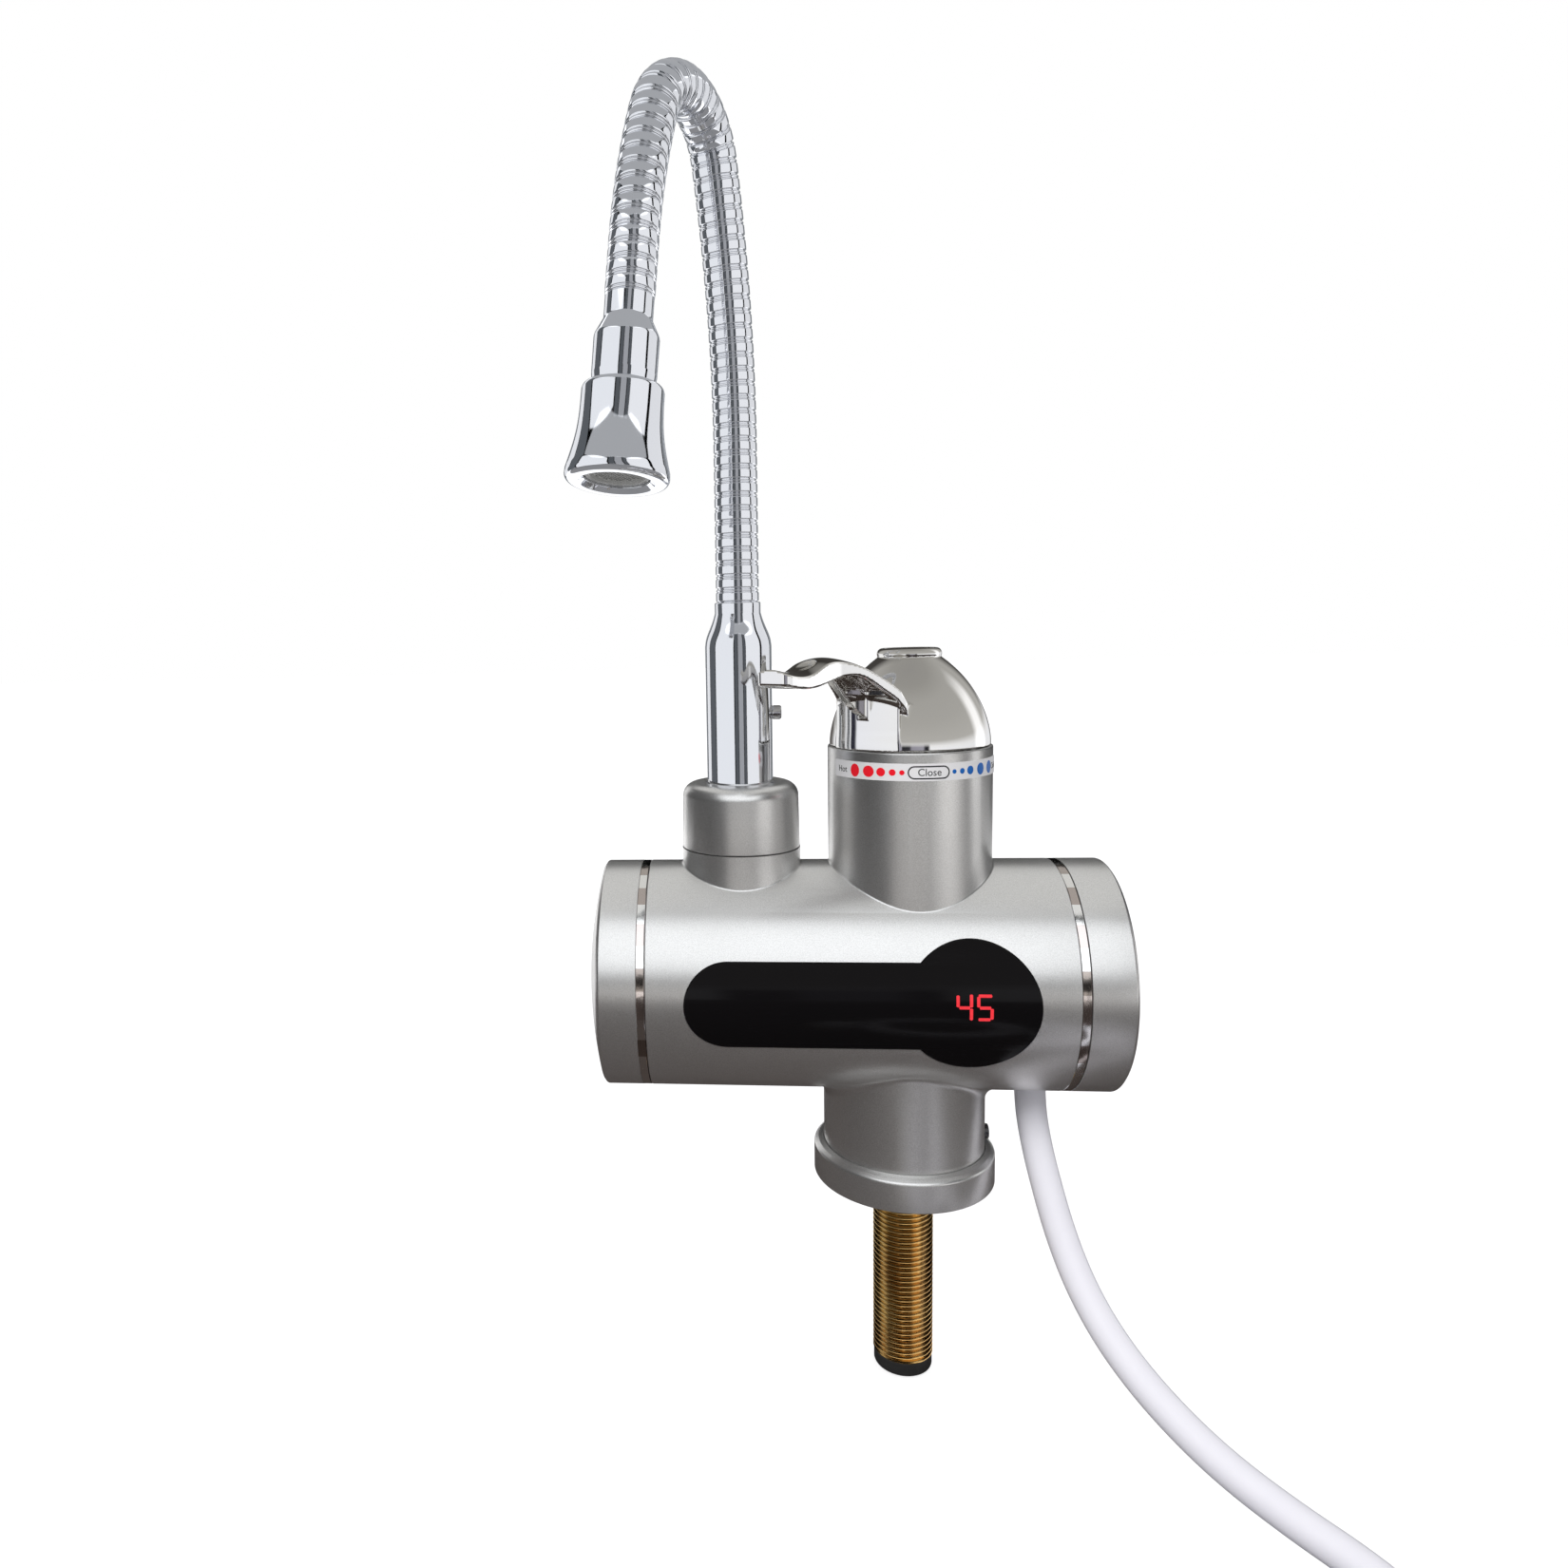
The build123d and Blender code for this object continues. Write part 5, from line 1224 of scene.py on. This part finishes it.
def lit_figures():
    """Two seven-segment figures, 4 and 5, glowing at the window's surface."""
    work = bmesh.new()
    thick, back, front = 1.0, 39.86, 39.94
    bottom, mid, top = 69.9 - axis_height, 74.0 - axis_height, 78.1 - axis_height
    left, wide = 11.3, 4.1
    four = [(left, mid + 0.15, left, top - 0.1), (left + 0.3, mid, left + wide - 0.3, mid),
            (left + wide, mid + 0.1, left + wide, top + 0.2), (left + wide, bottom, left + wide, mid - 0.15)]
    left = 17.6
    five = [(left - 0.1, top - 0.3, left + wide + 0.1, top - 0.3), (left, mid + 0.15, left, top - 0.45),
            (left + 0.25, mid, left + wide - 0.2, mid), (left + wide, bottom + 0.3, left + wide, mid - 0.15),
            (left - 0.1, bottom + 0.3, left + wide - 0.35, bottom + 0.3)]
    for x0, z0, x1, z1 in four + five:
        segment = bar(x0, z0, x1, z1, thick)
        stacked(work, [(segment, back), (segment, front)])
    cut_across(work, 2, bottom - 0.6, top + 0.8, 0.5)
    fitted(bent_piece("lit_figures", work, on_barrel_front), "housing", "figures", "digits")


def ellipse(across, up, half_across, half_up, steps=40):
    return [(across + half_across * math.cos(2 * math.pi * k / steps),
             up + half_up * math.sin(2 * math.pi * k / steps)) for k in range(steps)]


def degrees_round(angle):
    return math.radians(angle) * band_radius


def bent_marks(name, work, finish):
    cut_across(work, 0, -36.0, 38.0, 0.45)
    fitted(bent_piece(name, work, on_turret_front), "housing", finish, "band")


def printed_marks(name, shapes, finish):
    work = bmesh.new()
    for outline in shapes:
        stacked(work, [(outline, ink_back), (outline, ink_front)])
    bent_marks(name, work, finish)


def printed_words(name, words):
    """Lettering from Blender's own plain font, bent round the band."""
    work = bmesh.new()
    for text, angle, height, letter_size, squeeze in words:
        curve = bpy.data.curves.new("word", "FONT")
        curve.body = text
        curve.size = letter_size
        curve.align_x = "CENTER"
        curve.resolution_u = 4
        label = linked("word", curve)
        mesh = evaluated(label)
        bpy.data.objects.remove(label)
        flat = bmesh.new()
        flat.from_mesh(mesh)
        bmesh.ops.remove_doubles(flat, verts=flat.verts, dist=1e-4)
        for vertex in flat.verts:
            vertex.co = Vector((degrees_round(angle) + vertex.co.x * squeeze, ink_back, height + vertex.co.y))
        grown = bmesh.ops.extrude_face_region(flat, geom=flat.faces[:])
        for item in grown["geom"]:
            if isinstance(item, bmesh.types.BMVert):
                item.co.y = ink_front
        flat.to_mesh(mesh)
        flat.free()
        work.from_mesh(mesh)
    bent_marks(name, work, "black_ink")


def pill(angle, half_wide, half_high, line):
    """The outlined Close mark: a round-ended frame, as two halves."""
    centre = degrees_round(angle)
    halves = []
    for side in (-1, 1):
        edges = []
        for reach in (half_high, half_high - line):
            turns = [math.pi / 2 - math.pi * k / 20 for k in range(21)]
            end = [(centre + (half_wide - half_high + reach * math.cos(turn)) * side,
                    marks_height + reach * math.sin(turn)) for turn in turns]
            edges.append([(centre, marks_height + reach)] + end + [(centre, marks_height - reach)])
        halves.append(edges[0] + edges[1][::-1])
    return halves


def scale_band():
    """Label round the turret, with its dots, words and frame."""
    low, high, corner = 144.4, 150.0, 0.5
    work = bmesh.new()
    first, last = degrees_round(-68.0), degrees_round(77.0)
    outline = [(first + corner, low), (last - corner, low), (last, low + corner), (last, high - corner),
               (last - corner, high), (first + corner, high), (first, high - corner), (first, low + corner)]
    stacked(work, [(outline, 27.40), (outline, band_radius)])
    cut_across(work, 0, first, last, 0.6)
    fitted(bent_piece("scale_band_label", work, on_turret_front), "housing", "label", "band", "scale_band")
    red = ((-46.7, 1.75, 2.15), (-35.8, 1.95, 1.85), (-26.9, 1.45, 1.4), (-19.1, 1.08, 1.05),
           (-12.8, 0.82, 0.8))
    blue = ((22.4, 0.72, 0.72), (28.5, 0.92, 0.92), (35.5, 1.35, 1.4), (46.0, 1.8, 1.95), (57.8, 1.75, 2.1))
    for name, dots, finish in (("red_dots", red, "red"), ("blue_dots", blue, "blue")):
        printed_marks(name, [ellipse(degrees_round(angle), marks_height, half_across, half_up)
                             for angle, half_across, half_up in dots], finish)
    printed_marks("close_frame", pill(4.9, 6.75, 2.15, 0.42), "black_ink")
    printed_words("scale_words", [("Hot", -58.6, 146.2, 2.9, 0.95), ("Close", 5.3, 146.1, 3.35, 0.98),
                                  ("Cold", 67.6, 146.2, 2.9, 0.95)])


def end_seal():
    radius = 10.2
    outline = [(tail_bore, tail_end), (radius, tail_end, 0.3), (radius, floor_height, 1.3),
               (tail_bore, floor_height, 0.4)]
    fitted(turned("shank_seal_ring", outline, upright_at(0.0), 96), "housing", "rubber", "rubber_black",
           "shank_end_seal")


def dress_nodes():
    """Materials for the CAD pieces that stay as they are."""
    wear = {
        "rubber": ["base_gasket"],
        "white_moulding": ["water_body", "chamber_cover", "flow_switch_cover", "flow_push_pin",
                           "terminal_block", "cartridge_body"],
        "seal": ["chamber_seal", "flow_diaphragm", "cartridge_seals", "spout_seals", "aerator_washer"],
        "steel": ["heating_element", "element_terminals", "thermal_cutout", "temperature_probe",
                  "flow_return_spring", "terminal_screws", "handle_screw"],
        "board": ["power_board", "display_board"],
        "relay": ["power_relay"],
        "black_moulding": ["microswitch", "cord_gland"],
        "ceramic": ["ceramic_disc_fixed", "ceramic_disc_turning"],
        "pin_brass": ["spindle", "cartridge_nut"],
        "dark_filter": ["digit_display"],
    }
    for finish, nodes in wear.items():
        for node in nodes:
            for slot in frame["nodes"][node].material_slots:
                slot.material = FINISHES[finish]


# Studio: floor, world, lamps, and the cloth and tent that only shiny surfaces see

def stage_piece(name, points, faces, finish):
    """A studio piece from points in metres."""
    mesh = bpy.data.meshes.new(name)
    mesh.from_pydata(points, [], faces)
    mesh.materials.append(finish.material)
    return linked(name, mesh)


def stage_floor():
    half, height, seen_white = 6.0, floor_height * MM, (0.76, 0.76, 0.76)
    finish = Finish("floor_paper", (0.88, 0.88, 0.88), 0.9, Emission_Strength=1.0, Specular_IOR_Level=0.0)
    finish.feed("Emission Color", finish.mix(finish.seen(), (0.0, 0.0, 0.0), seen_white))
    corners = [(-half, -half, height), (half, -half, height), (half, half, height), (-half, half, height)]
    stage_piece("studio_floor", corners, [(0, 1, 2, 3)], finish)


def studio_world(level):
    """White where it is seen, directly or in a mirror, and a plain soft light for everything else."""
    world = bpy.data.worlds.new("studio")
    bpy.context.scene.world = world
    world.use_nodes = True
    graph = Graph(world.node_tree)
    back = graph.tree.nodes["Background"]
    graph.put(back.inputs["Color"], graph.mix(graph.seen(), (level, level, level * 1.02), (1.0, 1.0, 1.0)))
    back.inputs["Strength"].default_value = 1.0


def soft_lamp(name, place, aim, wide, high, power, colour, group):
    """A softbox for one group of pieces: in the photograph the paint has other lamps than the plating."""
    data = bpy.data.lights.new(name, "AREA")
    data.shape = "RECTANGLE"
    data.size, data.size_y, data.energy, data.color = wide, high, power, colour
    lamp = linked(name, data)
    away = Vector(place) - Vector(aim)
    level_side = Vector((0, 0, 1)).cross(away)
    lamp.matrix_world = standing(place, away, level_side if level_side.length > 0.01 else (1, 0, 0))
    lamp.visible_camera = False
    lamp.light_linking.receiver_collection = group
    return lamp


def group_of(name, finishes):
    """The pieces that have one of some finishes on them."""
    group = bpy.data.collections.new(name)
    materials = [FINISHES[finish] for finish in finishes]
    for piece in bpy.data.objects:
        if any(slot.material in materials for slot in piece.material_slots):
            group.objects.link(piece)
    return group


def tall_card(name, bearing, spread, level, colour, group):
    """A white card on end round the spout, by its bearing from the front and its spread in degrees."""
    angle, reach, foot, top = math.radians(bearing), 0.8, floor_height * MM, 0.92
    middle = (foot + top) / 2
    wide = 2 * reach * math.tan(math.radians(spread / 2))
    place = (reach * math.sin(angle), -reach * math.cos(angle), middle)
    power = level * math.pi * wide * (top - foot)
    soft_lamp(name, place, (0.0, 0.0, middle), wide, top - foot, power, colour, group)


def only_in_mirrors(piece):
    piece.visible_camera = piece.visible_diffuse = piece.visible_shadow = False
    piece.visible_transmission = piece.visible_volume_scatter = False


def mirror_cloth(name):
    return Finish(name, (0.0, 0.0, 0.0), 1.0, Emission_Strength=1.0, Specular_IOR_Level=0.0)


def table_card():
    """The dark cloth that the tap was stood on for its picture, seen only in its shiny parts."""
    half, back, height = 1.05, 0.30, floor_height * MM + 0.0006
    finish = mirror_cloth("dark_cloth")
    fold = finish.noise(3.0, 2.0, 0.5)
    finish.feed("Emission Color", finish.ramp(fold, [(0.35, (0.036, 0.029, 0.026)),
                                                     (0.65, (0.070, 0.056, 0.051))]))
    corners = [(-half, -half, height), (half, -half, height), (half, back, height), (-half, back, height)]
    only_in_mirrors(stage_piece("dark_cloth", corners, [(0, 1, 2, 3)], finish))


def tent():
    """White tent round the tap, with its dark openings, seen only in mirrors: pale wall, greyer roof."""
    reach, base, shoulder, turns = 1.1, floor_height * MM + 0.002, 0.5, 64
    outline = [(reach, base), (reach, shoulder)]
    outline += [(reach * math.cos(a), shoulder + reach * math.sin(a)) for a in np.radians(range(6, 91, 6))]
    points = [(radius * math.cos(2 * math.pi * k / turns), radius * math.sin(2 * math.pi * k / turns), height)
              for radius, height in outline for k in range(turns)]
    finish = mirror_cloth("tent_cloth")
    x, y, z = finish.parts()
    rise = finish.maths("ARCTAN2", z - 0.12, (x * x + y * y) ** 0.5) * (180 / math.pi)
    level = (rise + 15.0) / 105.0
    bearing = (finish.maths("ARCTAN2", x, 0.0 - y) * (180 / math.pi) + 180.0) / 360.0
    wall = finish.ramp(level, [
        (0.0, (0.92, 0.93, 0.96)), (0.143, (1.05, 1.07, 1.12)), (0.175, (1.0, 1.01, 1.04)),
        (0.235, (0.52, 0.515, 0.50)), (0.43, (0.46, 0.455, 0.44)), (0.62, (0.44, 0.435, 0.42)),
        (0.80, (0.36, 0.355, 0.34)), (1.0, (0.34, 0.335, 0.325))])
    slots = finish.ramp(bearing, [
        (0.0, (0.12, 0.11, 0.10)), (0.07, (0.16, 0.15, 0.14)), (0.11, 1.0), (0.178, 1.0),
        (0.184, (0.02, 0.02, 0.03)), (0.252, (0.03, 0.03, 0.045)), (0.262, (0.95, 0.96, 1.0)),
        (0.444, 1.0), (0.449, (0.03, 0.03, 0.035)),
        (0.480, (0.04, 0.04, 0.045)), (0.488, (0.33, 0.32, 0.37)), (0.532, (0.38, 0.37, 0.42)),
        (0.538, (0.02, 0.02, 0.025)), (0.552, (0.02, 0.02, 0.025)), (0.558, 1.0), (0.90, 0.9),
        (0.93, (0.16, 0.15, 0.14)), (1.0, (0.12, 0.11, 0.10))])
    behind = finish.ramp(bearing, [
        (0.0, (0.10, 0.095, 0.09)), (0.07, (0.14, 0.135, 0.13)), (0.12, 1.0), (0.88, 1.0),
        (0.93, (0.14, 0.135, 0.13)), (1.0, (0.10, 0.095, 0.09))])
    pane = (0.75, 0.76, 0.80)
    window = finish.ramp(bearing, [(0.76, 0.0), (0.79, pane), (0.82, pane), (0.85, 0.0)])
    low = finish.ramp(level, [(0.165, 1.0), (0.21, 0.0)])
    high = finish.ramp(level, [(0.19, 0.0), (0.22, 1.0), (0.60, 1.0), (0.85, 0.0)])
    sill = finish.ramp(level, [(0.15, 1.0), (0.40, 0.9), (0.62, 0.0)])
    lit = finish.mix(low, wall, slots, "MULTIPLY")
    lit = finish.mix(high, lit, behind, "MULTIPLY")
    finish.feed("Emission Color", finish.mix(sill, lit, window, "ADD"))
    cloth = stage_piece("tent", points, strips(len(outline), turns), finish)
    only_in_mirrors(cloth)
    return cloth


def studio():
    stage_floor()
    studio_world(0.48)
    others = group_of("other_pieces", [finish for finish in FINISHES
                                       if finish not in ("silver", "foil", "spout_chrome", "brass")])
    spout_studio(group_of("spout_pieces", ["spout_chrome"]))
    paint_studio(group_of("painted_pieces", ["silver", "foil"]))
    shank_studio(group_of("brass_pieces", ["brass"]))
    key = soft_lamp("key_softbox", (-0.30, -0.85, 0.95), (-0.02, 0.0, 0.10), 1.1, 0.42, 12.5,
                    (1.0, 0.995, 0.985), others)
    key.visible_glossy = False
    table_card()
    tent().light_linking.receiver_collection = others


def spout_studio(group):
    """White cards round the spout with dark gaps between them, a roof and a pale table."""
    cool, pale, sky, dim = (0.97, 0.98, 1.0), (0.95, 0.97, 1.0), (0.85, 0.92, 1.0), (0.90, 0.95, 1.0)
    for name, bearing, spread, level, colour in (
            ("far_left_card", -128.0, 24.0, 0.95, cool), ("left_card", -53.0, 66.0, 1.0, pale),
            ("middle_card", 3.0, 16.0, 0.42, (0.93, 0.95, 1.0)), ("right_card", 51.0, 56.0, 1.0, cool),
            ("far_right_card", 114.0, 52.0, 0.9, cool), ("back_card", 180.0, 70.0, 0.30, dim),
            ("left_gap", -101.5, 25.0, 0.14, sky), ("front_left_gap", -12.0, 11.0, 0.12, sky),
            ("front_right_gap", 17.0, 8.0, 0.12, sky)):
        tall_card(name, bearing, spread, level, colour, group)
    soft_lamp("spout_roof", (0.0, 0.0, 0.95), (0.0, 0.0, 0.3), 1.7, 1.7, 4.2, pale, group)
    soft_lamp("spout_table", (0.0, 0.0, -0.07), (0.0, 0.0, 0.3), 1.55, 1.55, 1.9, dim, group)


def paint_studio(group):
    white, tap, front, right = (1.0, 1.0, 1.0), (0.0, 0.0, 0.10), (-0.10, 0.0, -0.01), (0.0, 0.0, -0.01)
    for name, place, aim, wide, high, power, colour in (
            ("paint_front_softbox", (-0.05, -0.70, 0.66), tap, 1.3, 0.96, 6.1, (0.95, 0.975, 1.0)),
            ("paint_top_softbox", (0.0, 0.28, 0.93), tap, 1.3, 1.3, 4.0, (1.0, 1.0, 0.98)),
            ("paint_right_strip", (0.95, 0.05, 0.12), tap, 0.30, 0.7, 0.9, white),
            ("paint_right_panel", (0.72, -0.70, 0.05), tap, 0.50, 0.5, 0.6, (1.0, 0.99, 0.98)),
            ("paint_left_strip", (-0.55, 0.75, 0.12), tap, 0.35, 0.7, 0.9, white),
            ("paint_low_front", (-0.10, -0.90, -0.01), front, 0.8, 0.13, 0.34, (1.0, 0.97, 0.94)),
            ("paint_low_right", (0.68, -0.68, -0.01), right, 0.9, 0.13, 0.44, (1.0, 0.99, 0.98))):
        soft_lamp(name, place, aim, wide, high, power, colour, group)


def shank_studio(group):
    warm = (1.0, 0.98, 0.92)
    soft_lamp("shank_table", (0.20, -0.15, -0.071), (0.20, -0.15, 0.3), 0.42, 0.36, 0.47, warm, group)
    soft_lamp("shank_dim_table", (0.0, -0.10, -0.0715), (0.0, -0.10, 0.3), 1.2, 1.2, 1.35, (1.0, 0.95, 0.90),
              group)
    tall_card("shank_right_card", 48.0, 36.0, 1.0, (1.0, 0.99, 0.95), group)
    tall_card("shank_left_card", -92.0, 26.0, 0.7, warm, group)


look_through()
cord = mains_cord()
plug = plug_pieces()
strap = tie_strap()
barrel_housing()
end_cap("left_cap", cap_left, shell_left - foil_width, -1, "left_end_cap")
end_cap("right_cap", cap_right, shell_right + foil_width, 1, "right_end_cap")
foil_ring("left_foil", shell_left - foil_width, "left_trim_ring")
foil_ring("right_foil", shell_right, "right_trim_ring")
base_foot()
threaded_shank()
end_seal()
neck_screw()
spout_pieces()
gooseneck()
outlet_pieces()
handle()
handle_button()
window_lens()
lit_figures()
scale_band()
dress_nodes()
studio()

bpy.context.scene.view_settings.view_transform = "Standard"
